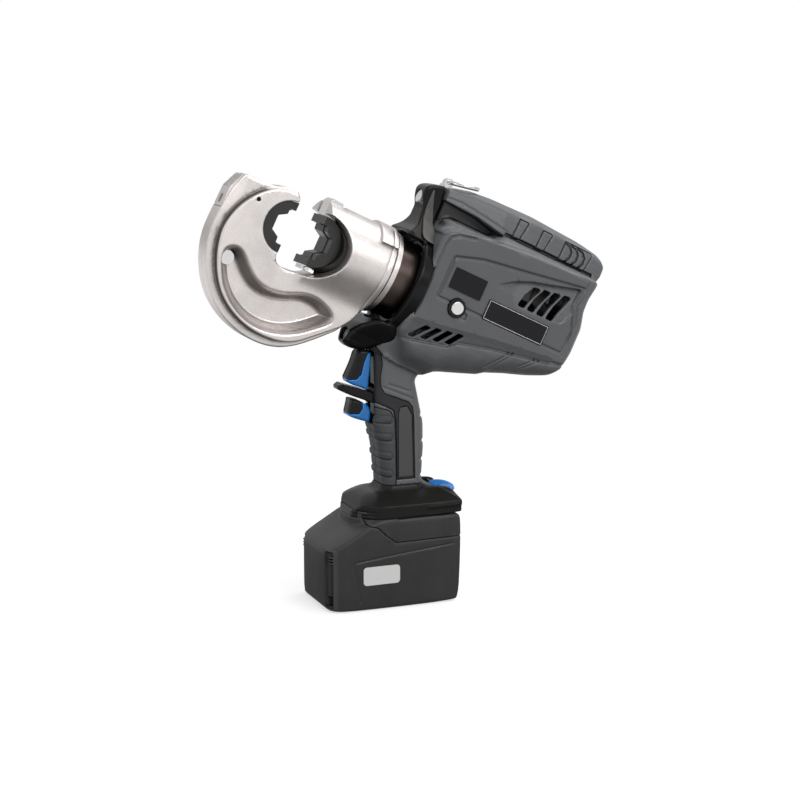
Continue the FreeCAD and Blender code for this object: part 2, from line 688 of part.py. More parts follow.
def housing_shell():
    shell = housing_outer().cut(housing_cavity())
    bosses = []
    for u, w in SCREWS:
        reach = screw_face(w) - WALL
        bosses.append(rod_y(SCREW_HEAD_R + 1.4, -reach, reach, u, w))
    inside = housing_outer().common(barrel(bosses[0].fuse(bosses[1:])))
    shell = shell.fuse(inside)
    ribs = []
    for u in (PUMP_FRONT_U + 8, PUMP_REAR_U - 8):
        rib = box(u, u + 3, -BODY_INNER, BODY_INNER, -50, RIB_TOP_W)
        ribs.append(rib.cut(rod_x(PUMP_R, u - 1, u + 4)))
    for u in (MOTOR_FRONT_U + 10, MOTOR_REAR_U - 13):
        rib = box(u, u + 3, -BODY_INNER, BODY_INNER, -26, 46)
        ribs.append(rib.cut(rod_x(MOTOR_R, u - 1, u + 4, DRIVE_W)))
    webbing = barrel(ribs[0].fuse(ribs[1:])).common(housing_outer())
    shell = shell.fuse(webbing)
    cuts = slot_row([(108 + 9.7 * i, 22 + 0.4 * i) for i in range(4)], 25, 13, 5.0)
    cuts += slot_row([(26 + 11.3 * i, -39.5 + 2.2 * i) for i in range(4)], 13, 14, 6.0)
    cuts.append(rod_x(COLLAR_R, -20, 22))
    shell = shell.cut(barrel(cuts[0].fuse(cuts[1:])))
    return shell


def clamshell():
    """Both housing halves, with their joint on y = 0."""
    shell = housing_shell()
    tools = [barrel(front_collar()), finger_guard(), barrel(oil_bladder()), barrel(button_collar()), ring_boss(),
             barrel(rod_y(BUTTON_R + GAP, -BODY_HALF - 5, -BODY_INNER + 5, BUTTON_U, BUTTON_W))]
    tools += list(battery_foot().Solids)
    tools += trigger_wells()
    tools += [grip_insert(side) for side in (1, -1)] + [front_grip()]
    tools += list(spine_grips().Solids)
    tools += [barrel(name_plate()), barrel(rating_plate())]
    for tool in tools:
        shell = shell.cut(tool)
    shell = shell.cut(housing_screws())
    for bore in screw_counterbores():
        shell = shell.cut(bore)
    wide = 300
    halves = []
    for y0, y1 in ((-wide, 0), (0, wide)):
        half = shell.common(box(-wide, wide, y0, y1, -wide, 2 * wide))
        halves.append(max(half.Solids, key=lambda s: s.Volume))
    return halves


def housing_screws():
    """Case screws, driven from the right-hand (+y) side."""
    screws = []
    for u, w in SCREWS:
        face = screw_face(w)
        screw = rod_y(1.5, -face / 2, face - 3, u, w)
        screw = screw.fuse(rod_y(SCREW_HEAD_R, face - SCREW_SINK - 2.6, face - SCREW_SINK, u, w))
        socket = rod_y(1.3, face - SCREW_SINK - 1.6, face, u, w)
        screws.append(barrel(screw.cut(socket).removeSplitter()))
    return Part.makeCompound(screws)


def trigger_wells():
    """Open slots in the front of the handle for the two triggers."""
    half = TRIGGER_HALF + CHEEK_T + GAP
    upper = box(-30, 2, -half, half, 184.5, 217)
    lower = box(-30, 2, -half, half, 154.5, 175)
    return [upper, lower]


BUTTON_U = 54.5
BUTTON_W = -2.5


def button_collar():
    ring = rod_y(BUTTON_R + 2.3, -BODY_HALF - 1.5, -BODY_INNER, BUTTON_U, BUTTON_W)
    return ring.cut(rod_y(BUTTON_R + GAP, -BODY_HALF - 3, -BODY_INNER + 3, BUTTON_U, BUTTON_W))


def side_button():
    cap = rod_y(BUTTON_R, -BODY_HALF - 2.4, -BODY_INNER + 0.5, BUTTON_U, BUTTON_W)
    rim = [e for e in cap.Edges if abs(e.BoundBox.YMin + BODY_HALF + 2.4) < 1e-4]
    return cap.makeFillet(0.8, rim)


def name_plate():
    plate = prism([(39.5, 11, 1), (71, 11, 1), (71, 29, 1), (39.5, 29, 1)], -BODY_HALF - 0.3, -BODY_HALF + 0.5)
    return plate


def rating_plate():
    plate = prism([(79.5, -1.5, 1), (141, -1.5, 1), (141, 16.5, 1), (79.5, 16.5, 1)],
                  -BODY_HALF - 0.3, -BODY_HALF + 0.5)
    return plate


def spine_grips():
    """Three soft pads let into the top of the spine."""
    outer = soft_prism(spine_outline(), SPINE_HALF, SPINE_ROUND)
    core = prism(inset(spine_outline(), SKIN), -SPINE_HALF + SKIN, SPINE_HALF - SKIN)
    core = core.makeFillet(SPINE_ROUND - SKIN, plate_edges(core, SPINE_HALF - SKIN) + plate_edges(core, -SPINE_HALF + SKIN))
    skin = outer.cut(core)
    pads = []
    for u0, u1 in ((80, 91), (104, 116), (128, 159)):
        pads.append(barrel(skin.common(box(u0, u1, -50, 50, 76, 120))))
    return Part.makeCompound(pads)


def grip_insert(side):
    """Soft panel let into one side of the handle."""
    outline = [(15, 102, 1), (31, 102, 1), (31, 160, 14), (22, 171, 12), (2, 179, 6), (-3.5, 179), (-3.5, 172),
               (8, 165, 8), (15, 156, 12)]
    y0 = side * (HANDLE_HALF - SKIN)
    y1 = side * (HANDLE_HALF + 0.3)
    return prism(outline, min(y0, y1), max(y0, y1))


def front_grip():
    """Soft skin moulded over the front of the handle, under the triggers."""
    outer = soft_prism(handle_outline(), HANDLE_HALF, HANDLE_ROUND)
    core = soft_prism(inset(handle_outline(), SKIN), HANDLE_HALF - SKIN, HANDLE_ROUND - SKIN)
    region = prism([(-40, 101), (13, 101), (13, 155, 6), (7, 163, 6), (-5, 168), (-40, 168)], -40, 40)
    skin = outer.cut(core).common(region)
    for tool in trigger_wells() + [finger_guard()]:
        skin = skin.cut(tool)
    return max(skin.Solids, key=lambda s: s.Volume)


def finger_guard():
    """Wing that stands out of the handle between the two triggers."""
    wing = prism([(-42, 189, 1.5), (-37, 190.5, 2), (-20, 183.5), (-6, 179), (-4, 179), (-4, 171), (-10, 172.5),
                  (-30, 180.5), (-41, 186, 1.5)], -9, 9)
    return wing


# ---------------------------------------------------------------- hanging ring
RING_PIVOT_U = 19.0
RING_PIVOT_W = SPINE_FRONT_W + 4.5
RING_LEAN = 11.0      # the ring lies this many degrees above the barrel axis


def ring_boss():
    """Bracket on the front of the spine that the hanging ring turns in."""
    boss = prism([(RING_PIVOT_U - 4, RING_PIVOT_W - 6), (RING_PIVOT_U - 4, RING_PIVOT_W + 1, 3),
                  (RING_PIVOT_U, RING_PIVOT_W + 4, 3), (RING_PIVOT_U + 4, RING_PIVOT_W + 1, 3),
                  (RING_PIVOT_U + 4, RING_PIVOT_W - 6)], -3, 3)
    foot = box(RING_PIVOT_U - 4, RING_PIVOT_U + 5, -6, 6, RING_PIVOT_W - 6, RING_PIVOT_W - 3)
    boss = boss.fuse(foot).removeSplitter().cut(front_collar())
    return barrel(boss.cut(rod_y(RING_WIRE_R + FIT, -10, 10, RING_PIVOT_U, RING_PIVOT_W)))


def carry_ring():
    """Wire ring with a straight bar that turns in the bracket."""
    reach = math.sqrt(RING_MAJOR_R ** 2 - RING_BAR_HALF ** 2)
    torus = Part.makeTorus(RING_MAJOR_R, RING_WIRE_R, Vector(reach, 0, 0), Vector(0, 0, 1))
    torus = torus.cut(box(-20, 0, -RING_BAR_HALF, RING_BAR_HALF, -5, 5))
    bar = rod_y(RING_WIRE_R, -RING_BAR_HALF, RING_BAR_HALF, 0, 0)
    ends = [Part.makeSphere(RING_WIRE_R, Vector(0, s * RING_BAR_HALF, 0)) for s in (1, -1)]
    ring = torus.fuse([bar] + ends).removeSplitter()
    ring.rotate(Vector(0, 0, 0), Vector(0, 1, 0), -RING_LEAN)
    ring.translate(Vector(RING_PIVOT_U, 0, RING_PIVOT_W))
    return barrel(ring)


# ---------------------------------------------------------------- triggers
def upper_profile():
    return [(-21, 216.5, 1), (-24, 212, 12), (-27, 204, 12), (-33, 193, 1.5), (-31, 191, 1), (-17, 185.2, 1),
            (-3, 185.2), (-3, 216.5)]


def lower_profile():
    return [(-27, 174.3, 1), (-28, 170, 8), (-32, 162, 1), (-31, 160.5, 1), (-15, 155.2, 1), (-4, 155.2), (-4, 168.5),
            (-13, 169)]


def trigger(profile):
    return prism(profile, -TRIGGER_HALF, TRIGGER_HALF)


def trigger_cheeks(outline):
    pair = []
    for side in (1, -1):
        y0 = side * TRIGGER_HALF
        y1 = side * (TRIGGER_HALF + CHEEK_T)
        pair.append(prism(outline, min(y0, y1), max(y0, y1)))
    return Part.makeCompound(pair)


def upper_cheeks():
    return trigger_cheeks([(-14, 214), (-20, 190), (-29, 193.2, 1), (-31, 191, 1), (-17, 185.4), (-11, 185.4), (-10, 214)])


def lower_cheeks():
    return trigger_cheeks([(-17, 170), (-18.5, 160.6), (-28, 163), (-31, 161.2, 1), (-15, 155.4), (-13, 155.4), (-12, 168.5)])


SWITCH_FRONT = 4.0
SWITCH_DEPTH = 18.0
SWITCH_LOW = 158.0
SWITCH_HIGH = 212.0


def trigger_switch():
    half = HANDLE_HALF - WALL
    body = box(SWITCH_FRONT, SWITCH_FRONT + SWITCH_DEPTH, -half, half, SWITCH_LOW, SWITCH_HIGH)
    upper = rod_x(3, SWITCH_FRONT - 1.5, SWITCH_FRONT, SWITCH_HIGH - 12)
    lower = rod_x(3, SWITCH_FRONT - 2.5, SWITCH_FRONT, SWITCH_LOW + 5)
    return body.fuse([upper, lower]).removeSplitter()


# ================================================================ foot, latch and battery
def control_board():
    return box(24, 25.6, -HANDLE_HALF + WALL, HANDLE_HALF - WALL, FOOT_TOP + 4, FOOT_TOP + 50)


def battery_foot():
    """Socket under the handle that the battery slides into from the front."""
    band = rounded_block(FOOT_FRONT, FOOT_REAR, FOOT_HALF, FOOT_BOTTOM, FOOT_BOTTOM + FOOT_BAND, 8)
    low = Part.Wire([e for e in band.Edges if abs(e.BoundBox.ZMin - FOOT_BOTTOM - FOOT_BAND) < 1e-4
                     and e.BoundBox.ZLength < 1e-4])
    top_block = rounded_block(-22, 48, 21, FOOT_TOP - 1, FOOT_TOP, 8)
    high = Part.Wire([e for e in top_block.Edges if abs(e.BoundBox.ZMin - FOOT_TOP) < 1e-4
                      and e.BoundBox.ZLength < 1e-4])
    slope = Part.makeLoft([low, high], True, True)
    foot = band.fuse(slope).removeSplitter()
    for side in (1, -1):
        for y0, y1, z0, z1 in ((RAIL_IN, RAIL_STEM, PACK_TOP - 1, RAIL_TOP),
                               (RAIL_IN, RAIL_OUT, PACK_TOP + RAIL_STEM_H, RAIL_TOP)):
            low_y, high_y = sorted((side * (y0 - GAP), side * (y1 + GAP)))
            foot = foot.cut(box(FOOT_FRONT - 1, FOOT_REAR - 4, low_y, high_y, z0 - GAP, z1 + GAP))
    foot = foot.cut(box(FOOT_FRONT - 1, TOWER_REAR + 12, -TOWER_HALF - GAP, TOWER_HALF + GAP,
                        PACK_TOP - 1, PACK_TOP + TOWER_H + GAP))
    foot = foot.cut(latch_recess())
    return foot.cut(box(-2, 34, -12, 12, PACK_TOP + TOWER_H + 4, FOOT_TOP + 5))


TOWER_FRONT = -12.0
TOWER_REAR = 20.0
TOWER_HALF = 13.0
TOWER_H = 6.0
BLADE_Y = 7.0
LATCH_X = 50.0
LATCH_Z = 95.0
LATCH_HALF = 17.0
PAWL_X = 45.0
PAWL_ROOM = 6.5       # in front of the middle of the pawl, for its swing


def latch_recess():
    well = box(39.5, FOOT_REAR + 5, -LATCH_HALF - GAP, LATCH_HALF + GAP, FOOT_BOTTOM + 9, FOOT_TOP + 10)
    hole = box(PAWL_X - PAWL_ROOM, PAWL_X + 4.5, -9.5, 9.5, FOOT_BOTTOM - 1, FOOT_BOTTOM + 10)
    pin = rod_y(1.5, -LATCH_HALF - 3, LATCH_HALF + 3, LATCH_X, LATCH_Z)
    return well.fuse([hole, pin])


def latch_pin():
    return rod_y(1.5, -LATCH_HALF - 3, LATCH_HALF + 3, LATCH_X, LATCH_Z)


def battery_latch():
    """Blue rocker at the back of the foot; its pawl drops into the top of the battery."""
    rear = FOOT_REAR + 3.5
    rocker = prism([(43, 92, 1), (43, 95.5, 2), (49, 98.6, 4), (rear - 4.5, 98.2, 4), (rear, 95, 2),
                    (rear - 0.5, 91.8, 1)], -LATCH_HALF, LATCH_HALF)
    pawl = box(PAWL_X - 2, PAWL_X + 2, -8, 8, PACK_TOP - 1.4, 93)
    latch = rocker.fuse(pawl).removeSplitter()
    return latch.cut(rod_y(1.5 + FIT, -LATCH_HALF - 5, LATCH_HALF + 5, LATCH_X, LATCH_Z))


def terminal_block():
    block = box(TOWER_REAR + 2, TOWER_REAR + 12, -TOWER_HALF, TOWER_HALF, FOOT_BOTTOM, PACK_TOP + TOWER_H + GAP)
    blades = []
    for side in (1, -1):
        y = side * BLADE_Y
        blades.append(box(TOWER_REAR - 12, TOWER_REAR + 3, y - 0.5, y + 0.5, PACK_TOP + 2, PACK_TOP + 5))
    return block.fuse(blades).removeSplitter()


SPLIT_RISE = 56.0     # height of the seam between the battery's shells behind the handle


def pack_outer():
    half = PACK_L / 2
    body = prism([(-half, 0, 1.5), (half, 0, 1.5), (half + 1.5, 50, 20), (half, PACK_TOP, 4), (-19, PACK_TOP, 6),
                  (-half - 0.5, 55, 5), (-half - 1.5, 46, 6)], -PACK_W / 2, PACK_W / 2)
    return body.makeFillet(3.0, plate_edges(body, PACK_W / 2) + plate_edges(body, -PACK_W / 2))


def pack_core():
    half = PACK_L / 2 - WALL
    return prism([(-half, WALL), (half, WALL), (half, PACK_TOP - WALL), (-18, PACK_TOP - WALL), (-50, 55.6),
                  (-half, 50)], -PACK_W / 2 + WALL, PACK_W / 2 - WALL)


def upper_region():
    return prism([(-21, 74), (-15, 68, 3), (-10, 62, 3), (0, SPLIT_RISE, 3), (80, SPLIT_RISE + 3), (80, 200),
                  (-21, 200)], -PACK_W, PACK_W)


def pack_nose():
    """Step on the battery's slope that closes the wedge under the front of the foot."""
    front = FOOT_FRONT
    outline = [(front, 64), (front, 72, 2), (front + 4.5, PACK_TOP - 0.1, 3), (-21, PACK_TOP - 0.1), (-21, 64)]
    return prism(outline, -NOSE_HALF, NOSE_HALF).cut(pack_core())


def battery_lower():
    shell = pack_outer().cut(pack_core()).fuse(pack_nose())
    return single(shell.cut(upper_region()).cut(catch_slot()))


def catch_slot():
    return box(PAWL_X - PAWL_ROOM, PACK_L / 2 + 5, -8.6, 8.6, PACK_TOP - 2.4, PACK_TOP + 1)


def battery_upper():
    """Top shell with the two slide rails and the terminal tower."""
    shell = pack_outer().cut(pack_core()).common(upper_region())
    rails = []
    for side in (1, -1):
        for y0, y1, z0, z1 in ((RAIL_IN, RAIL_STEM, PACK_TOP - 1, RAIL_TOP),
                               (RAIL_IN, RAIL_OUT, PACK_TOP + RAIL_STEM_H, RAIL_TOP)):
            low_y, high_y = sorted((side * y0, side * y1))
            rails.append(box(-16, FOOT_REAR - 6, low_y, high_y, z0, z1))
    tower = box(TOWER_FRONT, TOWER_REAR, -TOWER_HALF, TOWER_HALF, PACK_TOP - 1, PACK_TOP + TOWER_H)
    for side in (1, -1):
        y = side * BLADE_Y
        tower = tower.cut(box(TOWER_REAR - 14, TOWER_REAR + 1, y - 1.6, y + 1.6, PACK_TOP + 1, PACK_TOP + TOWER_H + 1))
    shell = shell.fuse(rails + [tower]).removeSplitter()
    return single(shell.cut(catch_slot()))


def battery_cells():
    cells = []
    for row in range(2):
        for column in range(5):
            x = (column - 2) * CELL_PITCH
            z = WALL + 1.5 + CELL_R + row * CELL_PITCH
            cells.append(rod_y(CELL_R, -CELL_L / 2, CELL_L / 2, x, z))
    return Part.makeCompound(cells)


def cell_holder():
    """Frame round the cells, in two end plates."""
    plates = []
    for side in (1, -1):
        y0, y1 = sorted((side * (CELL_L / 2 - 9), side * (CELL_L / 2 + 2)))
        plate = box(-2.5 * CELL_PITCH - 1, 2.5 * CELL_PITCH + 1, y0, y1, WALL, WALL + 3 + 2 * CELL_PITCH)
        plates.append(plate.cut(battery_cells()))
    return Part.makeCompound(plates)


def battery_terminals():
    clips = []
    for side in (1, -1):
        y = side * BLADE_Y
        for offset in (-1.5, 0.9):
            clips.append(box(TOWER_REAR - 12, TOWER_REAR - 3, y + offset, y + offset + 0.6, PACK_TOP + 1, PACK_TOP + 5))
    return Part.makeCompound(clips)


def battery_label():
    return prism([(-31, 22, 3), (2, 22, 3), (2, 38, 3), (-31, 38, 3)], -PACK_W / 2 - 0.3, -PACK_W / 2)


# ================================================================ write every piece
def pieces():
    left, right = clamshell()
    nodes = {
        "housing_left": left,
        "housing_right": right,
        "front_collar": barrel(front_collar()),
        "lamp_lenses": barrel(lamp_lenses()),
        "bearing_ring": barrel(bearing_ring()),
        "finger_guard": finger_guard(),
        "grip_insert_left": grip_insert(-1),
        "grip_insert_right": grip_insert(1),
        "front_grip": front_grip(),
        "spine_grips": spine_grips(),
        "name_plate": barrel(name_plate()),
        "rating_plate": barrel(rating_plate()),
        "housing_screws": housing_screws(),
        "button_collar": barrel(button_collar()),
        "ring_boss": ring_boss(),
        "pump_block": barrel(pump_block()),
        "pump_piston": barrel(pump_piston()),
        "ring_gear": barrel(ring_gear()),
        "motor_can": barrel(motor_can()),
        "motor_bearings": barrel(motor_bearings()),
        "oil_bladder": barrel(oil_bladder()),
        "trigger_switch": trigger_switch(),
        "control_board": control_board(),
        "battery_foot": battery_foot(),
        "terminal_block": terminal_block(),
        "latch_pin": latch_pin(),
        "c_head": barrel(c_head()),
        "fixed_die": barrel(die(-1)),
        "web_pin": barrel(web_pin()),
        "lock_block": barrel(lock_block()),
        "swivel_neck": barrel(swivel_neck()),
        "retaining_nut": barrel(retaining_nut()),
        "return_spring": barrel(return_spring()),
        "lock_pin": barrel(lock_pin()),
        "ram": barrel(ram()),
        "ram_seal": barrel(ram_seal()),
        "moving_die": barrel(die(1)),
        "die_retainer": barrel(die_retainer()),
        "die_keeper": barrel(die_keeper()),
        "upper_trigger": trigger(upper_profile()),
        "upper_trigger_cheeks": upper_cheeks(),
        "lower_trigger": trigger(lower_profile()),
        "lower_trigger_cheeks": lower_cheeks(),
        "carry_ring": carry_ring(),
        "side_button": barrel(side_button()),
        "battery_latch": battery_latch(),
        "battery_lower": battery_lower(),
        "battery_upper": battery_upper(),
        "battery_cells": battery_cells(),
        "cell_holder": cell_holder(),
        "battery_terminals": battery_terminals(),
        "battery_label": battery_label(),
        "rotor": barrel(rotor()),
        "planet_carrier": barrel(planet_carrier()),
    }
    for i in range(3):
        nodes["planet_%d" % (i + 1)] = barrel(planet(i))
    return nodes


os.makedirs("parts", exist_ok=True)
for name, shape in pieces().items():
    shape.exportStep("parts/%s.step" % name)
    bounds = shape.BoundBox
    print("%-22s solids %2d valid %s volume %9.1f  x %.1f..%.1f z %.1f..%.1f"
          % (name, len(shape.Solids), shape.isValid(), shape.Volume, bounds.XMin, bounds.XMax,
             bounds.ZMin, bounds.ZMax))
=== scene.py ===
"""Looks of a cordless hydraulic crimping tool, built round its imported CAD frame.

The scene is in metres. Shapes are drawn in millimetres as distance fields: negative inside, positive
outside. Barrel fields use (u, y, w): u along the barrel axis towards the tail, w up from that axis.
Other fields use the tool's own (x, y, z).
"""

import functools
import itertools
import json
import math

import bpy
import numpy as np
import openvdb
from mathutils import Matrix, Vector


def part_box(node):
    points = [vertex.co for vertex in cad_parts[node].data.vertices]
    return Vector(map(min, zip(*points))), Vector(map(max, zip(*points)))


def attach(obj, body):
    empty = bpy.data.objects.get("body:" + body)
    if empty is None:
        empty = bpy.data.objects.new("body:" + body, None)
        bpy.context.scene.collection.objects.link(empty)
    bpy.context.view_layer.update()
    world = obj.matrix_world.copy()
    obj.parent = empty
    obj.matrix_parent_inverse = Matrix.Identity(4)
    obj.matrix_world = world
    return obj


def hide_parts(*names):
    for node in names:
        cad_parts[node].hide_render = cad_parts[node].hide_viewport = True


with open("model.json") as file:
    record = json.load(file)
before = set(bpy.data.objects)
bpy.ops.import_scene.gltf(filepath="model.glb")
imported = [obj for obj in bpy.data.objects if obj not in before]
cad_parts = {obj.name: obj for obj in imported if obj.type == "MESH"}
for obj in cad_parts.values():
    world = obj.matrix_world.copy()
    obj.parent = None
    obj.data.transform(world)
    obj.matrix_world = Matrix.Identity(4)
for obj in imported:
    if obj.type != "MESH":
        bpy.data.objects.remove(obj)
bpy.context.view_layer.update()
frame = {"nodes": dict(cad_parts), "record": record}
NODES = frame["nodes"]

MM = 0.001
TILT = math.radians(26.0)            # how far the barrel falls towards the tail
COS, SIN = math.cos(TILT), math.sin(TILT)
BARREL_X, BARREL_Z = 3.9, 281.8      # origin of the barrel frame, in the tool's x and z
VIEW_PLACE = Vector((-0.6323, -1.6417, 0.5216))
VIEW_TARGET = Vector((0.0177, 0.0, 0.1719))
VIEW_LENS = 94.4
LAMP_AIM = Vector((0.0, 0.0, 0.2))
FLOOR_HALF = 8.0
LARGE_STEP = 0.7      # grid spacing of the housing
MEDIUM_STEP = 0.6     # and of the head, the battery and the foot


# ============ camera, light and floor
def add_camera():
    data = bpy.data.cameras.new("view_camera")
    data.lens = VIEW_LENS
    data.sensor_width = 36.0
    data.clip_start = 0.05
    camera = bpy.data.objects.new("view_camera", data)
    bpy.context.scene.collection.objects.link(camera)
    camera.location = VIEW_PLACE
    camera.rotation_euler = (VIEW_TARGET - VIEW_PLACE).to_track_quat("-Z", "Y").to_euler()
    bpy.context.scene.camera = camera


def add_lamp(name, place, size, power):
    """A rectangular lamp that shines at the middle of the tool."""
    data = bpy.data.lights.new(name, "AREA")
    data.shape = "RECTANGLE"
    data.size, data.size_y = size
    data.energy = power
    lamp = bpy.data.objects.new(name, data)
    lamp.location = place
    lamp.rotation_euler = (LAMP_AIM - Vector(place)).to_track_quat("-Z", "Y").to_euler()
    bpy.context.scene.collection.objects.link(lamp)


# ============ node tree helper
class Tree:
    """Builds a shader tree with short calls. All but node and link give back an output."""

    def __init__(self, tree):
        self.tree = tree
        self.tree.nodes.clear()

    def node(self, kind, **given):
        made = self.tree.nodes.new("ShaderNode" + kind)
        for key, value in given.items():
            if key.startswith("i_"):
                made.inputs[key[2:].replace("_", " ")].default_value = value
            else:
                setattr(made, key, value)
        return made

    def link(self, out, into):
        self.tree.links.new(out, into)

    def mix(self, factor, first, second):
        made = self.node("MixShader")
        for out, into in zip((factor, first, second), made.inputs):
            self.link(out, into)
        return made.outputs[0]

    def glow(self, strength):
        return self.node("Emission", i_Color=(1, 1, 1, 1), i_Strength=strength).outputs[0]

    def matte(self, level):
        return self.node("BsdfDiffuse", i_Color=(level, level, level, 1)).outputs[0]

    def spread(self, value, low, high, to_low=0.0, to_high=1.0):
        """The value, with low to high stretched to to_low to to_high."""
        made = self.node("MapRange", i_From_Min=low, i_From_Max=high, i_To_Min=to_low,
                         i_To_Max=to_high)
        self.link(value, made.inputs["Value"])
        return made.outputs["Result"]

    def noise(self, scale, detail, roughness):
        made = self.node("TexNoise", i_Scale=scale, i_Detail=detail, i_Roughness=roughness)
        self.link(self.node("TexCoord").outputs["Object"], made.inputs["Vector"])
        return made.outputs["Fac"]

    def times(self, colour, factor):
        made = self.node("Mix", data_type="RGBA", blend_type="MULTIPLY")
        made.inputs[0].default_value = 1.0
        self.link(colour, made.inputs[6])
        self.link(factor, made.inputs[7])
        return made.outputs[2]


def add_world():
    """Studio surroundings: dark below, bright from the horizon up, plain white behind the tool."""
    world = bpy.data.worlds.new("studio")
    bpy.context.scene.world = world
    world.use_nodes = True
    t = Tree(world.node_tree)
    split = t.node("SeparateXYZ")
    t.link(t.node("TexCoord").outputs["Generated"], split.inputs[0])
    ramp = t.node("ValToRGB")
    stops = ((0.0, 0.10), (0.42, 0.12), (0.5, 0.45), (0.60, 0.95), (0.8, 0.80), (1.0, 0.9))
    while len(ramp.color_ramp.elements) < len(stops):
        ramp.color_ramp.elements.new(0.5)
    for element, (place, level) in zip(ramp.color_ramp.elements, stops):
        element.position = place
        element.color = (level, level, level * 1.01, 1)
    t.link(t.spread(split.outputs["Z"], -1.0, 1.0), ramp.inputs["Fac"])
    studio = t.node("Background", i_Strength=0.75)
    t.link(ramp.outputs["Color"], studio.inputs["Color"])
    white = t.node("Background", i_Color=(1, 1, 1, 1), i_Strength=1.0)
    seen = t.node("LightPath").outputs["Is Camera Ray"]
    out = t.node("OutputWorld")
    t.link(t.mix(seen, studio.outputs[0], white.outputs[0]), out.inputs[0])


def add_floor():
    """A pale floor that turns white away from the tool, and that polished metal mirrors."""
    mesh = bpy.data.meshes.new("floor")
    half = FLOOR_HALF
    mesh.from_pydata([(-half, -half, 0), (half, -half, 0), (half, half, 0), (-half, half, 0)], [],
                     [(0, 1, 2, 3)])
    floor = bpy.data.objects.new("floor", mesh)
    floor.location = (0, 0, -0.0004)
    bpy.context.scene.collection.objects.link(floor)
    material = bpy.data.materials.new("floor_white")
    material.use_nodes = True
    t = Tree(material.node_tree)
    reach = t.node("VectorMath", operation="LENGTH")
    t.link(t.node("TexCoord").outputs["Object"], reach.inputs[0])
    far = t.spread(reach.outputs["Value"], 0.25, 0.7)
    white = t.glow(1.0)
    near = t.node("AddShader")
    t.link(t.matte(0.55), near.inputs[0])
    t.link(t.glow(0.60), near.inputs[1])
    ray = t.node("LightPath").outputs
    seen = t.node("Math", operation="MAXIMUM")
    t.link(ray["Is Camera Ray"], seen.inputs[0])
    t.link(ray["Is Transmission Ray"], seen.inputs[1])
    mirrored = t.mix(far, t.glow(0.22), white)
    unseen = t.mix(ray["Is Glossy Ray"], t.matte(0.26), mirrored)
    shown = t.mix(far, near.outputs[0], white)
    out = t.node("OutputMaterial")
    t.link(t.mix(seen.outputs[0], unseen, shown), out.inputs["Surface"])
    mesh.materials.append(material)


# ============ materials
BROAD_SCALE = 30.0
MIDDLE = (0.3, 0.7)      # the stretch of a noise that is used


def surface(name, base, rough, metallic=0.0, vary=0.08, grain=1400.0, depth=2e-5, edge_highlight=0.0, hollow_shade=0.0,
            coat=0.0, specular=0.5, rough_vary=0.06, bevel=0.0):
    """A moulded or machined surface: colour that drifts a little, fine grain, a painted highlight on edges
    and painted shade in hollows.

    The edge strength says how much lighter a ridge is painted, as a highlight, and the hollow strength how
    much darker a hollow is painted, as shade. depth, which is the grain's, and bevel are in metres.
    """
    material = bpy.data.materials.new(name)
    material.use_nodes = True
    t = Tree(material.node_tree)
    shader = t.node("BsdfPrincipled", i_Metallic=metallic, i_Specular_IOR_Level=specular,
                    i_Coat_Weight=coat, i_Coat_Roughness=0.2)
    out = t.node("OutputMaterial")
    t.link(shader.outputs[0], out.inputs["Surface"])
    broad = t.noise(BROAD_SCALE, 4.0, 0.6)
    fine = t.noise(grain, 3.0, 0.65)
    drift = t.node("Mix", data_type="RGBA")
    drift.inputs[6].default_value = tuple(max(0.0, c * (1 - vary)) for c in base) + (1,)
    drift.inputs[7].default_value = tuple(min(1.0, c * (1 + vary)) for c in base) + (1,)
    t.link(t.spread(broad, *MIDDLE), drift.inputs[0])
    colour = t.times(drift.outputs[2], t.spread(fine, *MIDDLE, 1.0 - vary, 1.0 + vary * 0.6))
    # painted shade in hollows and a painted highlight on ridges, from the mesh's attributes
    for attribute, reach in (("hollow", -hollow_shade), ("ridge", edge_highlight)):
        if reach:
            given = t.node("Attribute", attribute_name=attribute)
            colour = t.times(colour, t.spread(given.outputs["Fac"], 0.0, 1.0, 1.0, 1.0 + reach))
    t.link(colour, shader.inputs["Base Color"])
    gloss = t.spread(broad, *MIDDLE, max(0.03, rough - rough_vary), min(1.0, rough + rough_vary))
    t.link(gloss, shader.inputs["Roughness"])
    grains = t.node("Bump", i_Strength=1.0, i_Distance=depth)
    t.link(fine, grains.inputs["Height"])
    if bevel:
        rounding = t.node("Bevel", samples=6, i_Radius=bevel)
        t.link(rounding.outputs["Normal"], grains.inputs["Normal"])
    t.link(grains.outputs["Normal"], shader.inputs["Normal"])
    return material


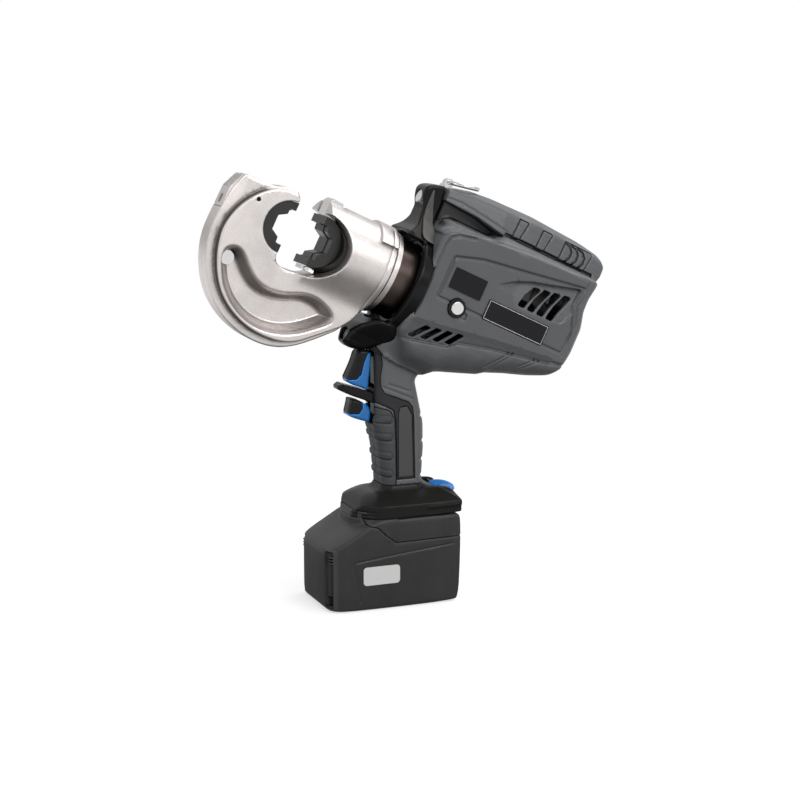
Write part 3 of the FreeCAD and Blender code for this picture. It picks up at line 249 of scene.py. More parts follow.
MATS = {
    "housing_shell": surface("shell_grey", (0.110, 0.113, 0.119), 0.40, vary=0.05, grain=1800, depth=3e-5,
                             edge_highlight=0.45, hollow_shade=0.93),
    "soft_grip": surface("soft_grip", (0.047, 0.049, 0.052), 0.5, grain=2600, depth=4e-5, edge_highlight=0.5,
                         hollow_shade=0.85, specular=0.35),
    "collar_black": surface("collar_black", (0.006, 0.006, 0.0065), 0.25, vary=0.1, grain=1500, depth=1e-5,
                            edge_highlight=0.6, hollow_shade=0.6, specular=0.2),
    # the cheeks are the collar's black plastic, painted lighter and matter as a painted reflection of the
    # light on their flat faces
    "cheek_painted_light": surface("cheek_painted_light", (0.075, 0.071, 0.067), 0.42, grain=1500, depth=1e-5, edge_highlight=0.5,
                          hollow_shade=0.8),
    "pad_grey": surface("pad_grey", (0.100, 0.103, 0.109), 0.46, vary=0.05, grain=1800, depth=3e-5,
                        edge_highlight=0.45, hollow_shade=0.93),
    "panel_grey": surface("panel_grey", (0.058, 0.058, 0.058), 0.6, grain=2600, depth=4e-5, edge_highlight=0.2,
                          hollow_shade=0.85),
    "overmould": surface("overmould", (0.020, 0.020, 0.021), 0.34, vary=0.1, grain=1800, edge_highlight=0.8, hollow_shade=0.8,
                         specular=0.2),
    "foot_black": surface("foot_black", (0.014, 0.0138, 0.013), 0.34, grain=1500, edge_highlight=0.6, hollow_shade=0.8,
                          specular=0.2),
    "lens": surface("lamp_lens", (0.78, 0.79, 0.78), 0.12, vary=0.03, grain=600, depth=1e-5, coat=0.6,
                    bevel=0.0006),
    "bronze": surface("bronze", (0.105, 0.080, 0.072), 0.34, metallic=1.0, vary=0.12, grain=1200,
                      depth=1.5e-5, bevel=0.0004),
    "forged_steel": surface("forged_steel", (0.74, 0.695, 0.675), 0.38, metallic=1.0, vary=0.10, grain=900,
                            depth=1.4e-4, edge_highlight=0.12, hollow_shade=0.75, rough_vary=0.05),
    "bright_steel": surface("bright_steel", (0.74, 0.73, 0.72), 0.22, metallic=1.0, vary=0.04, grain=1600,
                            depth=1e-5, bevel=0.0004),
    "black_steel": surface("black_steel", (0.050, 0.049, 0.048), 0.34, metallic=0.75, vary=0.12, grain=1500,
                           depth=3e-5, bevel=0.0005),
    "plate_black": surface("plate_black", (0.010, 0.010, 0.012), 0.3, vary=0.1, grain=900, depth=5e-6,
                           bevel=0.0002, specular=0.2),
    "steel_screw": surface("steel_screw", (0.05, 0.05, 0.05), 0.4, metallic=0.8, bevel=0.0002),
    "pump_aluminium": surface("pump_aluminium", (0.6, 0.61, 0.62), 0.3, metallic=1.0, bevel=0.0003),
    "seal_rubber": surface("seal_rubber", (0.02, 0.02, 0.02), 0.6, bevel=0.0003),
    "trigger_black": surface("trigger_black", (0.013, 0.013, 0.014), 0.3, grain=1800, edge_highlight=0.8, hollow_shade=0.7,
                             specular=0.2),
    "control_blue": surface("control_blue", (0.004, 0.21, 0.66), 0.25, vary=0.05, grain=1500, depth=1e-5,
                            edge_highlight=0.8, hollow_shade=0.7, coat=0.3),
    "battery_case": surface("battery_case", (0.044, 0.0435, 0.043), 0.42, grain=1700, depth=3e-5, edge_highlight=0.6,
                            hollow_shade=0.9, specular=0.3),
    "cell_wrap": surface("cell_wrap", (0.10, 0.25, 0.45), 0.3, bevel=0.0004),
    "holder_plastic": surface("holder_plastic", (0.03, 0.03, 0.03), 0.5, bevel=0.0004),
    "copper": surface("copper", (0.72, 0.42, 0.25), 0.3, metallic=1.0, bevel=0.0002),
    "white_label": surface("white_label", (0.80, 0.80, 0.79), 0.35, vary=0.02, grain=800, depth=4e-6,
                           bevel=0.0001),
    "board_green": surface("board_green", (0.02, 0.16, 0.06), 0.35, bevel=0.0002),
}


def paint(obj, material):
    obj.data.materials.clear()
    obj.data.materials.append(material)


# ============ outlines
def rounded(points, steps=7):
    """A closed outline. Each point is (a, b) or (a, b, corner radius)."""
    made = []
    n = len(points)
    for i in range(n):
        here = np.array(points[i][:2], float)
        back = np.array(points[i - 1][:2], float) - here
        ahead = np.array(points[(i + 1) % n][:2], float) - here
        radius = points[i][2] if len(points[i]) > 2 else 0.0
        cosine = back @ ahead / (np.linalg.norm(back) * np.linalg.norm(ahead))
        half = math.acos(max(-1.0, min(1.0, cosine))) / 2
        if radius <= 0 or half > math.radians(89.5):
            made.append(tuple(here))
            continue
        room = 0.48 * min(np.linalg.norm(back), np.linalg.norm(ahead))
        reach = min(radius / math.tan(half), room)
        a = here + back / np.linalg.norm(back) * reach
        b = here + ahead / np.linalg.norm(ahead) * reach
        for k in range(steps + 1):
            s = k / steps
            made.append(tuple((1 - s) ** 2 * a + 2 * s * (1 - s) * here + s ** 2 * b))
    return made


def softened(points, rounds=3):
    """A closed outline with its corners cut again and again, so that it runs in a smooth curve."""
    line = [tuple(p[:2]) for p in points]
    for _ in range(rounds):
        cut = []
        for (a0, b0), (a1, b1) in zip(line, line[1:] + line[:1]):
            cut.append((0.75 * a0 + 0.25 * a1, 0.75 * b0 + 0.25 * b1))
            cut.append((0.25 * a0 + 0.75 * a1, 0.25 * b0 + 0.75 * b1))
        line = cut
    return line


def inside_distance(points, a, b):
    """Distance to a closed outline, negative inside."""
    shape = np.broadcast(a, b).shape
    best = np.full(shape, 1e12)
    inside = np.zeros(shape, bool)
    for (a0, b0), (a1, b1) in zip(points, points[1:] + points[:1]):
        da, db = a1 - a0, b1 - b0
        s = np.clip(((a - a0) * da + (b - b0) * db) / (da * da + db * db + 1e-12), 0, 1)
        best = np.minimum(best, (a - a0 - s * da) ** 2 + (b - b0 - s * db) ** 2)
        if abs(db) > 1e-9:
            inside ^= ((b0 <= b) != (b1 <= b)) & (a < a0 + (b - b0) * da / db)
    return np.where(inside, -1.0, 1.0) * np.sqrt(best)


def path_distance(points, a, b):
    """Distance to an open line of points."""
    best = np.full(np.broadcast(a, b).shape, 1e12)
    for (a0, b0), (a1, b1) in zip(points, points[1:]):
        da, db = a1 - a0, b1 - b0
        s = np.clip(((a - a0) * da + (b - b0) * db) / (da * da + db * db + 1e-12), 0, 1)
        best = np.minimum(best, (a - a0 - s * da) ** 2 + (b - b0 - s * db) ** 2)
    return np.sqrt(best)


def tool_outline(points):
    """An outline given as (x, z) of the tool, turned into the barrel frame."""
    made = []
    for p in points:
        x, z = p[0] - BARREL_X, p[1] - BARREL_Z
        made.append((x * COS - z * SIN, x * SIN + z * COS) + tuple(p[2:]))
    return made


def tool_place(u, w):
    """The tool's x and z of a place in the barrel frame."""
    return BARREL_X + u * COS + w * SIN, BARREL_Z - u * SIN + w * COS


# ============ distance fields
def smin(a, b, k):
    h = np.clip(0.5 + 0.5 * (b - a) / k, 0, 1)
    return b + (a - b) * h - k * h * (1 - h)


def smax(a, b, k):
    return -smin(-a, -b, k)


def union(*fields):
    return functools.reduce(np.minimum, fields)


def common(*fields):
    return functools.reduce(np.maximum, fields)


def span(a, low, high):
    """Negative between low and high."""
    return np.abs(a - (low + high) / 2) - (high - low) / 2


def ease(x, width):
    """0 well below x = 0, 1 well above it."""
    s = np.clip(x / width + 0.5, 0, 1)
    return s * s * (3 - 2 * s)


def bump(distance, width):
    return np.exp(-(distance / width) ** 2)


def slab(flat, across, half, radius):
    """An outline's distance given a thickness: flat is in the outline's plane, across is |y|."""
    a = flat + radius
    b = across - half + radius
    return np.minimum(np.maximum(a, b), 0) + np.hypot(np.maximum(a, 0), np.maximum(b, 0)) - radius


def steep(half, spacing):
    """How much further a surface is than its height says, where the height changes fast."""
    da, dw = np.gradient(half[:, 0, :], spacing)
    return np.sqrt(1 + da ** 2 + dw ** 2)[:, None, :]


def disc(a, b, centre, radius):
    return np.hypot(a - centre[0], b - centre[1]) - radius


class Space:
    """A grid of points in one frame: barrel (u, y, w) or tool (x, y, z)."""

    def __init__(self, low, high, spacing, barrel=True):
        self.low, self.spacing, self.barrel = np.array(low, float), spacing, barrel
        counts = [int(math.ceil((h - l) / spacing)) + 1 for l, h in zip(low, high)]
        a, y, w = (l + spacing * np.arange(n) for l, n in zip(low, counts))
        self.a, self.y, self.w = a[:, None, None], y[None, :, None], w[None, None, :]

    def places(self, points):
        p = points * self.spacing + self.low
        if self.barrel:
            x, z = tool_place(p[:, 0], p[:, 2])
            p = np.stack([x, p[:, 1], z], 1)
        return p * MM

    def directions(self, v):
        if self.barrel:
            v = np.stack([v[:, 0] * COS + v[:, 2] * SIN, v[:, 1], -v[:, 0] * SIN + v[:, 2] * COS], 1)
        return v / np.maximum(np.linalg.norm(v, axis=1, keepdims=True), 1e-9)


def sampled(field, points):
    top = np.array(field.shape) - 2
    i = np.clip(np.floor(points).astype(int), 0, top)
    f = np.clip(points - i, 0, 1)
    total = np.zeros(len(points))
    for corner in itertools.product((0, 1), repeat=3):
        weight = np.prod(np.where(np.array(corner) == 1, f, 1 - f), axis=1)
        total += weight * field[i[:, 0] + corner[0], i[:, 1] + corner[1], i[:, 2] + corner[2]]
    return total


def set_attribute(mesh, name, values):
    data = mesh.attributes.new(name, "FLOAT", "POINT").data
    data.foreach_set("value", np.clip(values, 0, 1).astype(np.float32))


def mesh_from(name, field, space, adaptivity, mirror, dark):
    """The surface where the field is zero, with normals taken from the field.

    The attributes hollow and ridge say how far the surface sinks in or stands out just there, for painted
    shade in hollows and a painted highlight on ridges. dark is a field that is negative where the surface
    lies in shade inside the part; that is painted as shade.
    """
    limit = 3 * space.spacing
    near = np.clip(field, -limit, limit).astype(np.float32)
    grid = openvdb.FloatGrid(limit)
    grid.gridClass = openvdb.GridClass.LEVEL_SET
    grid.copyFromArray(near)
    points, tris, quads = grid.convertToPolygons(isovalue=0.0, adaptivity=adaptivity)
    slope = np.zeros((len(points), 3))
    for axis in range(3):
        shift = np.zeros(3)
        shift[axis] = 0.6
        slope[:, axis] = sampled(near, points + shift) - sampled(near, points - shift)
    unit = slope / np.maximum(np.linalg.norm(slope, axis=1, keepdims=True), 1e-9)
    # painted shade: how far the surface lies in a hollow, read from the field at two reaches along the normal
    hollow = np.zeros(len(points))
    for reach, share in ((1.3, 0.65), (3.2, 0.6)):
        ahead = sampled(field, points + unit * reach / space.spacing)
        hollow += share * np.clip((0.86 - ahead / reach) / 0.7, 0, 1)
    # painted highlight: how far the surface stands out on a ridge
    behind = sampled(field, points - unit * 1.4 / space.spacing)
    ridge = np.clip((behind / 1.4 + 0.86) / 0.4, 0, 1)
    if dark is not None:
        hollow = np.maximum(hollow, np.clip(-sampled(dark, points) / 0.4, 0, 1))
    places, normals = space.places(points), space.directions(slope)
    faces = [quads[:, ::-1].tolist(), tris[:, ::-1].tolist()]
    if mirror:
        places[:, 1] *= -1
        normals[:, 1] *= -1
        faces = [quads.tolist(), tris.tolist()]
    mesh = bpy.data.meshes.new(name)
    mesh.from_pydata(places.tolist(), [], faces[0] + faces[1])
    mesh.validate()
    mesh.update()
    if len(mesh.vertices) == len(hollow):
        set_attribute(mesh, "hollow", hollow)
        set_attribute(mesh, "ridge", ridge)
    count = len(mesh.polygons)
    facing = np.zeros(count * 3)
    mesh.polygons.foreach_get("normal", facing)
    lead = np.zeros(count, int)
    mesh.polygons.foreach_get("loop_start", lead)
    corners = np.zeros(len(mesh.loops), int)
    mesh.loops.foreach_get("vertex_index", corners)
    if np.einsum("ij,ij->", facing.reshape(-1, 3), normals[corners[lead]]) < 0:
        mesh.flip_normals()
    mesh.polygons.foreach_set("use_smooth", [True] * len(mesh.polygons))
    if len(mesh.vertices) == len(normals):
        mesh.normals_split_custom_set_from_vertices(normals.tolist())
    obj = bpy.data.objects.new(name, mesh)
    bpy.context.scene.collection.objects.link(obj)
    return obj


def add_piece(name, field, space, body, slot, *nodes, finish=None, adaptivity=0.002, mirror=False, dark=None):
    """A piece with the field's surface. It rides on the body and stands for the CAD nodes named."""
    obj = mesh_from(name, field, space, adaptivity, mirror, dark)
    paint(obj, MATS[finish or slot])
    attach(obj, body)
    if nodes:
        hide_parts(*nodes)


# ============ housing shape
BODY_HALF = 43.0
WALL = 2.8
HANDLE_HALF = 17.5
SKIN = 1.6      # depth of the soft parts let into the housing

BODY = rounded([(18, -38, 8), (18, 50, 5), (24, 66, 6), (60, 74, 10), (168, 74, 3), (171, 66, 6),
                (168, 52, 12), (168.5, 41, 10), (174.5, 26, 14), (175, 4, 14), (171.5, -12, 12),
                (164, -22, 10), (149, -30.5, 20), (112, -44, 20), (70, -60, 10), (36, -58, 14)])
HANDLE = rounded(tool_outline([(-3, 92), (-3.2, 105), (-4.8, 118, 30), (-6.5, 135, 20), (-9, 146, 10),
                               (-12, 157, 4), (-10.5, 160, 2), (-10, 182), (-10, 222, 3), (8, 240),
                               (44, 216), (26.5, 192, 10), (34.5, 154, 40), (34.8, 132, 20), (33.5, 112, 20),
                               (33.5, 92)]))
WEB = rounded([(18, 40), (18, 86), (90, 86), (90, 60), (60, 40)])
UPPER_CREASE = ((20, 40, 60, 100, 158, 180), (50, 58, 60.5, 63.5, 67, 68))
SCOOP_CREASE = ((10, 18, 22, 27, 40, 65, 74), (46, 50, 54, 56.5, 58.5, 63.5, 70))
LOWER_CREASE = ((10, 20, 50, 100, 155, 180), (-27, -25, -22, -14.5, -8.5, -6))
VENT_FLOOR = ((10, 14, 30, 63, 70, 100, 150, 180), (-50, -46, -42.5, -35, -29, -22, -13.5, -8))
BELLY = ((18, 36, 61, 70, 80, 105, 112, 130, 150, 170, 180),
         (-64, -66, -66, -60, -57, -50, -44, -37, -31, -26, -20))
PANEL = rounded([(34, 0), (34, 36, 3), (60, 44, 30), (100, 50, 60), (158, 59, 1), (155, 40, 4),
                 (163, 20, 10), (162, 0, 1)])
VENT_SCOOP = rounded([(81, 30, 1), (95, 38.5, 30), (110, 44.5, 30), (130, 49.5, 30), (156, 57, 1),
                      (153.5, 41, 3), (157, 34, 4), (150, 22, 6), (104, 20, 6), (96, 28, 6)])
UPPER_SLOTS = [rounded([(105.5 + 9.7 * i, 21.4, 1.5), (112.5 + 9.7 * i, 21.4, 1.5),
                        (115 + 9.7 * i, 28 + 0.5 * i, 4), (123 + 9.7 * i, 42.5 + 1.6 * i, 2),
                        (115.5 + 9.7 * i, 41.5 + 1.6 * i, 2), (109 + 9.7 * i, 32 + 0.5 * i, 6)])
               for i in range(4)]
SLOT_DEPTH = ((0, 2.2, 5, 8.5, 12, 30), (9, 7, 3.4, 3.8, 10, 12))
LOWER_SLOTS = [rounded([(25.5 + 11.2 * i, -39.5 + 2.2 * i, 1), (31.5 + 11.2 * i, -39.5 + 2.2 * i, 1),
                        (42 + 10.2 * i, -26.2 + 1.7 * i, 1), (36 + 10.2 * i, -26.2 + 1.7 * i, 1)])
               for i in range(4)]
PADS = [rounded([(u0 + 1, 72.5, 1), (u0 + 3, 89.5, 1), (u1 + 1, 89.5, 1), (u1 - 3, 72.5, 1)])
        for u0, u1 in ((80, 91), (104, 116), (128, 159))]
SPINE_RIBS = [[(u - 1, 88), (u + 5, 87), (u + 8, 83), (u + 8, 78), (u + 5, 73.5)] for u in (131, 138, 145)]
OVERMOULD = [p[:2] for p in tool_outline([(-9.9, 223.1), (-5.4, 215.5), (-4.8, 206.9), (-6.3, 196),
                                          (-6, 188), (-3, 182), (10.8, 176.3), (18.6, 173.2), (22.4, 168.5),
                                          (23.5, 160), (24.0, 130), (24.6, 106.4), (8.2, 106.5), (7.8, 130),
                                          (7.1, 158), (4.9, 166.8), (-2.2, 171.1), (-20.3, 178.6),
                                          (-45, 186), (-45, 223)])]
GRIP_PANEL = rounded(tool_outline([(9.6, 107.9, 1), (9.6, 163, 1), (10.8, 168.9, 2), (18, 169.6, 3),
                                   (22, 162, 6), (23.4, 107.9, 1)]))
FRONT_GRIP = rounded(tool_outline([(-45, 100), (7.4, 100), (7.4, 130), (6.3, 159, 6), (2, 167, 4),
                                   (-19, 172.6), (-45, 180)]))
NECK_LINES = [[(1, 189.6), (19.9, 182.4)], [(-3.5, 187.2), (23.9, 175.3)]]
CAPSULES = (158.9, 143.7, 127.2, 111.9)
WELLS = (tool_outline([(-30, 184.5), (-1, 184.5), (-1, 219), (-30, 219)]),
         tool_outline([(-30, 154.5), (-1, 154.5), (-1, 177), (-30, 177)]))
WELL_HALF = 10.0
BUTTON = (54.5, -2.5)
SCREWS = ((32, -48), (166, -8), (165, 84), (70, 81), (97, 84), (100, -38))
PLATE_SEATS = [rounded([(39.3, 10.8, 1), (71.2, 10.8, 1), (71.2, 29.2, 1), (39.3, 29.2, 1)]),
               rounded([(79.3, -1.7, 1), (141.2, -1.7, 1), (141.2, 16.7, 1), (79.3, 16.7, 1)])]
# inner ribs: place along the barrel, radius and height of the hole, lowest and highest point
RIBS = ((28, 30, 0, -50, 44), (48, 30, 0, -50, 44), (96, 22, 8, -26, 46), (135, 22, 8, -26, 46))
# grooves in the side of the barrel: depth, width and line
GROOVES = ((1.3, 0.9, PANEL + PANEL[:1]),
           (1.5, 1.0, [(22.3, -22), (22.3, 42), (24, 49), (30, 53.5), (46, 57.0)]),
           (0.9, 0.8, [(30, 58.5), (67, 62), (106, 66.4), (157.4, 66.4)]),
           (1.1, 0.9, [(159.5, 68), (159.5, 46), (158, 42), (163.5, 27), (163.5, -2)]),
           (1.1, 0.9, [(103.5, -37.5), (107, -33), (117, -18.5)]),
           (1.1, 0.9, [(108, -37.5), (111, -33), (121, -17.5)]),
           (1.1, 0.9, [(127, -30), (130, -27), (142, -14.5)]),
           (1.1, 0.9, [(131.5, -30), (134, -27), (146, -14)]))


def along(u, line):
    return np.interp(u, line[0], line[1])


def half_width(u, w):
    """Half-width of the barrel housing over its side view, with its creases, bands and hollows."""
    upper = along(u, UPPER_CREASE)
    lower = along(u, LOWER_CREASE)
    floor = along(u, VENT_FLOOR)
    belly = along(u, BELLY)
    half = np.full(np.broadcast(u, w).shape, BODY_HALF)
    over = np.clip((w - upper) / (72 - upper), 0, 1.3)
    half = half - 13 * over ** 1.15
    under = np.clip(lower - w, 0, None)
    band = BODY_HALF - 0.34 * under - 1.0 * ease(under - 1.0, 2.0)
    drop = np.clip((floor - w) / (floor - belly), 0, 1)
    start = BODY_HALF - 0.34 * (lower - floor) + 0.9
    body = 9 + (start - 9) * np.sqrt(np.clip(1 - drop ** 2.3, 0, 1))
    below = ease(floor - w, 2.4)
    half = np.where(w < lower, band * (1 - below) + body * below, half)
    half = half - (0.9 * bump(w - floor, 1.0) + 0.8 * bump(w - lower, 0.9)) * ease(157 - u, 3)
    # hollow under the front of the spine, in three steps
    crease = along(u, SCOOP_CREASE)
    fade = ease(72 - u, 10)
    rise = w - crease
    hollow = 9 * ease(rise - 0.6, 2.4) + 11 * ease(rise - (60 - u) * 0.16 - 1.5, 3.0)
    hollow = hollow + 9 * ease(rise - (62 - u) * 0.24 - 2.5, 3.0)
    half = half - np.clip(hollow, 0, 28.5) * fade * (w > crease - 2)
    return np.maximum(half - 6.0 * np.clip((u - 159) / 16, 0, 1.2) ** 2, 12.0)


def half_details(u, w):
    """Shallow drawing on the side of the barrel: grooves, panel and vent scoop. Positive is deeper."""
    deep = 0.7 * ease(-inside_distance(PANEL, u, w), 1.2)
    for depth, width, line in GROOVES:
        deep = deep + depth * bump(path_distance(line, u, w), width)
    scoop = inside_distance(VENT_SCOOP, u, w)
    roof = along(u, ((80, 95, 110, 130, 158), (31, 38.5, 44.5, 49.5, 58)))
    rise = np.clip((w - 21) / np.maximum(roof - 21, 2), 0, 1)
    return deep + (0.4 + 5.2 * rise ** 1.3) * ease(-scoop, 1.4) * ease(u - 90, 24)


def spine_field(u, y, w):
    top = along(u, ((10, 17, 40, 60, 100, 150, 168, 178), (86, 88.5, 94, 96, 97.5, 95.5, 93.3, 90)))
    half = along(u, ((10, 17, 40, 70, 100, 180), (15, 17, 23, 28.5, 29.5, 28.5)))
    across = np.abs(y)
    roof = (w + 6.0 * (across / 27.0) ** 2 - top) * 0.96
    side = (across - (half - 0.16 * (w - 72))) * 0.98
    tail = u - along(w, ((60, 75, 84, 92, 98), (170, 175.5, 176, 173, 166)))
    d = smax(roof, side, 4.0)
    d = smax(d, tail, 5.0)
    low = along(u, ((7, 17, 47, 74, 80), (80, 76.5, 75, 70, 60)))
    d = smax(d, low - w, 1.6)
    d = d + 0.7 * bump(path_distance([(17, 79.6), (30, 80.4), (45.3, 78.8), (61.2, 76.6), (76, 74.4)], u, w),
                       0.8)
    return smax(d, 17.2 - u, 0.8)


def handle_field(u, w, across):
    x, z = tool_place(u, w)
    d = slab(inside_distance(HANDLE, u, w), across, HANDLE_HALF, 9.0)
    notches = 0.0
    for height in (160, 138, 122, 108):
        notches = notches + 1.2 * bump(z - height, 1.5) * ease(x - 30, 6)
    for line in NECK_LINES:
        notches = notches + 0.7 * bump(path_distance([p[:2] for p in tool_outline(line)], u, w), 0.8)
    return d + notches


def outer_field(space):
    u, w = space.a, space.w
    across = np.abs(space.y)
    half = half_width(u, w) - half_details(u, w)
    flat = inside_distance(BODY, u, w)
    d = slab(flat, across, half, 6.0)
    d = np.where(d > -8, d / (0.35 + 0.65 * steep(half, space.spacing)), d)
    spine = spine_field(u, space.y, w)
    d = smin(d, spine, 1.5)
    web = slab(inside_distance(WEB, u, w), across, 13.0, 3.0)
    d = smin(d, web, 2.5)
    groove = np.hypot((across - 30.5) * 0.45, w - 72.2) - 1.9
    groove = np.maximum(groove, np.maximum(74 - u, u - 165.5))
    d = smax(d, -groove, 0.6)
    d = smin(d, handle_field(u, w, across), 16.0)
    return d


EAR = [(-3.8, 40.6), (-1.2, 43.6), (2.2, 48), (3.6, 54), (3.2, 60), (2.8, 65), (0, 70), (-2.2, 77),
       (-1.4, 81), (2, 84), (8, 86.2), (17, 88.6), (17, 36), (0, 36)]
CHIN = [(2, -37), (17, -37), (30, -43), (27, -50), (21, -57), (10, -65.6), (0, -69), (-8, -69.4),
        (-13.6, -66.5), (-14, -62), (-13.4, -57), (-9, -47.5), (-4, -43)]


def collar_shape(space, cut=True):
    u, y, w = space.a, space.y, space.w
    across = np.abs(y)
    radial = np.hypot(y, w)
    ring = slab(radial - 46.0, np.abs(u - 16.5), 5.5, 1.5)
    lip = np.hypot((radial - 41.2) * 0.8, u - 13.5) - 2.2
    ring = smin(ring, lip, 1.5)
    ear = inside_distance(softened(EAR, 2), u, w)
    ear_half = along(w, ((38, 46, 55, 64, 72, 90), (27, 20, 13, 11.5, 11.5, 11)))
    upper = slab(ear, across, ear_half, 2.4)
    chin = inside_distance(softened(CHIN, 2), u, w)
    chin_half = along(w, ((-70, -62, -55, -47, -38), (9.5, 11.5, 15, 22, 30)))
    lower = slab(chin, across, chin_half, 6.0)
    d = smin(ring, upper, 3.0)
    d = smin(d, lower, 3.0)
    if not cut:
        return d
    d = smax(d, -np.maximum(radial - 40.0, u - 15.9), 1.0)
    d = smax(d, -np.maximum(radial - 34.05, u - 16.0), 0.4)
    d = np.maximum(d, -np.maximum(radial - 34.0, -u + 15.0))
    for deepest, w0 in ((5.5, 72.0), (-3.5, -60.0)):
        d = smax(d, -np.maximum(np.hypot(y, w - w0) - 5.7, u - deepest), 0.8)
    return d


FIN = [(4.4, 82), (4.5, 67), (5.3, 60), (6.2, 50), (6.6, 40), (14, 38), (27.6, 38), (27.3, 43.2),
       (20.4, 45.5), (16.6, 51.7), (14, 60), (9.3, 71), (6.5, 80)]


def fin_shape(space):
    """Flat cheek on each side of the collar's upper ear."""
    half = along(space.w, ((38, 46, 55, 64, 72, 90), (30, 22, 14.6, 13.2, 12.9, 12)))
    across = np.abs(space.y)
    plate = slab(inside_distance(softened(FIN, 2), space.a, space.w), across, half, 1.0)
    return np.maximum(plate, half - 4.0 - across)


def guard_shape(space, grow=0.0):
    """The wing between the triggers, larger all round by grow."""
    flat = inside_distance(rounded(tool_outline(
        [(-41.6, 189, 1.5), (-37, 190.8, 2), (-20, 185.2, 10), (-6, 180), (-4, 180), (-4, 171),
         (-10, 172.6, 10),
         (-30, 180.6, 6), (-41, 186, 1.5)])), space.a, space.w)
    x = tool_place(space.a, space.w)[0]
    half = 9.0 - 4.0 * np.clip((-34 - x) / 8, 0, 1) ** 2
    return slab(flat, np.abs(space.y), half, 1.2) - grow


def build_housing():
    space = Space((8, -46.5, -178), (179.5, 2.0, 101), LARGE_STEP)
    u, y, w = space.a, space.y, space.w
    across = np.abs(y)
    x, z = tool_place(u, w)
    plain = outer_field(space)

    # vents, and room for the collar, the guard, the triggers and the foot
    cuts = common(union(*(inside_distance(outline, u, w) for outline in LOWER_SLOTS)), 24 - across)
    for index, outline in enumerate(UPPER_SLOTS):
        depth = np.interp(w - 21.4 - 0.3 * index, *SLOT_DEPTH)
        cuts = union(cuts, common(inside_distance(outline, u, w), 40.0 - depth - across))
    outer = smax(plain, -cuts, 0.6)
    collar = union(collar_shape(space, cut=False), common(np.hypot(y, w) - 46, u - 22))
    outer = np.maximum(outer, -(collar - 0.15))
    outer = smax(outer, -guard_shape(space, 0.12), 0.3)
    wells = union(*(slab(inside_distance(well, u, w), across, WELL_HALF, 0.6) for well in WELLS))
    outer = smax(outer, -wells, 0.6)
    outer = np.maximum(outer, FOOT_TOP + 0.15 - z)

    # room in the surface for the soft parts
    band = common(inside_distance(OVERMOULD, u, w), x - 26)
    front = inside_distance(FRONT_GRIP, u, w)
    pads = common(union(*(inside_distance(pad, u, w) for pad in PADS)), 12 - across)
    insets = common(union(band, front, pads), -(plain + SKIN))
    shell = smax(outer, -(insets - 0.3), 0.5)

    # the inside, with screw posts and ribs, and the seam between the halves
    posts = union(*(disc(u, w, screw, 4.6) for screw in SCREWS))
    ribs = [common(np.abs(u - at - 1.5) - 1.5, radius - np.hypot(y, w - centre), low - w, w - high)
            for at, radius, centre, low, high in RIBS]
    hollow = common(plain + WALL, -union(posts, *ribs))
    shell = smax(np.maximum(shell, -hollow), y + 0.06, 0.5)

    # the near half has seats for the plates and the button, the far half has screw holes
    seats = [common(inside_distance(outline, u, w), 42.45 - across) for outline in PLATE_SEATS]
    seats.append(common(disc(u, w, BUTTON, 8.1), 30 - across))
    seats.append(common(disc(u, w, (63.6, -6.2), 3.0), 41.6 - across))
    shade = union(plain + 2.4, common(across - 16, 58 - w, u - 78, w - 77.5))
    left = smax(shell, -union(*seats), 0.35)
    add_piece("housing_left_skin", left, space, "housing", "housing_shell", "housing_left", adaptivity=0.015,
              dark=shade)
    right = shell
    for screw in SCREWS:
        face = 27.0 if screw[1] > 60 else BODY_HALF
        right = smax(right, -common(disc(u, w, screw, 3.5), face - 2.6 - across), 0.35)
    add_piece("housing_right_skin", right, space, "housing", "housing_shell", "housing_right",
              adaptivity=0.015, mirror=True, dark=shade)

    # soft parts that share the housing's surface
    behind = -(plain + SKIN)
    ridges = 0.0
    for height in CAPSULES:
        level = z - height - 0.10 * (-2 - x)
        gap = np.hypot(np.maximum(x - 1.2, 0), level)
        ridges = ridges + 0.9 * ease(2.4 - gap, 1.6) - 0.5 * bump(gap - 3.2, 0.9)
    grip = smax(common(plain - ridges, behind), front + 0.35, 0.5)
    grip = np.maximum(grip, FOOT_TOP + 0.2 - z)
    grip = smax(grip, -guard_shape(space, 0.15), 0.3)
    grip = np.maximum(smax(grip, -wells, 0.5), y)
    add_piece("front_grip_skin", grip, space, "housing", "soft_grip", "front_grip")
    add_piece("front_grip_skin_far", grip, space, "housing", "soft_grip", mirror=True)

    skin = common(plain, behind)
    panel = inside_distance(GRIP_PANEL, u, w)
    rim = smax(smax(skin - 0.15, band + 0.2, 0.5), -(panel - 0.25), 0.5)
    rim = smax(rim, -guard_shape(space, 0.15), 0.3)
    rim = common(smax(rim, -wells, 0.5), -(front - 0.2), y)
    insert = smax(skin + 0.3, panel + 0.05, 0.4)
    for side, mirror in (("left", False), ("right", True)):
        add_piece("grip_band_" + side, rim, space, "housing", "soft_grip", "grip_insert_" + side,
                  finish="overmould", mirror=mirror)
        add_piece("grip_panel_" + side, insert, space, "housing", "soft_grip", finish="panel_grey",
                  mirror=mirror)

    pad = smax(skin - 0.5, pads + 0.35, 0.8)
    for line in SPINE_RIBS:
        pad = smax(pad, -common(path_distance(line, u, w) - 0.8, -(plain + 1.0)), 0.5)
    add_piece("spine_pads_l", pad, space, "housing", "soft_grip", "spine_grips", finish="pad_grey")
    add_piece("spine_pads_r", pad, space, "housing", "soft_grip", finish="pad_grey", mirror=True)


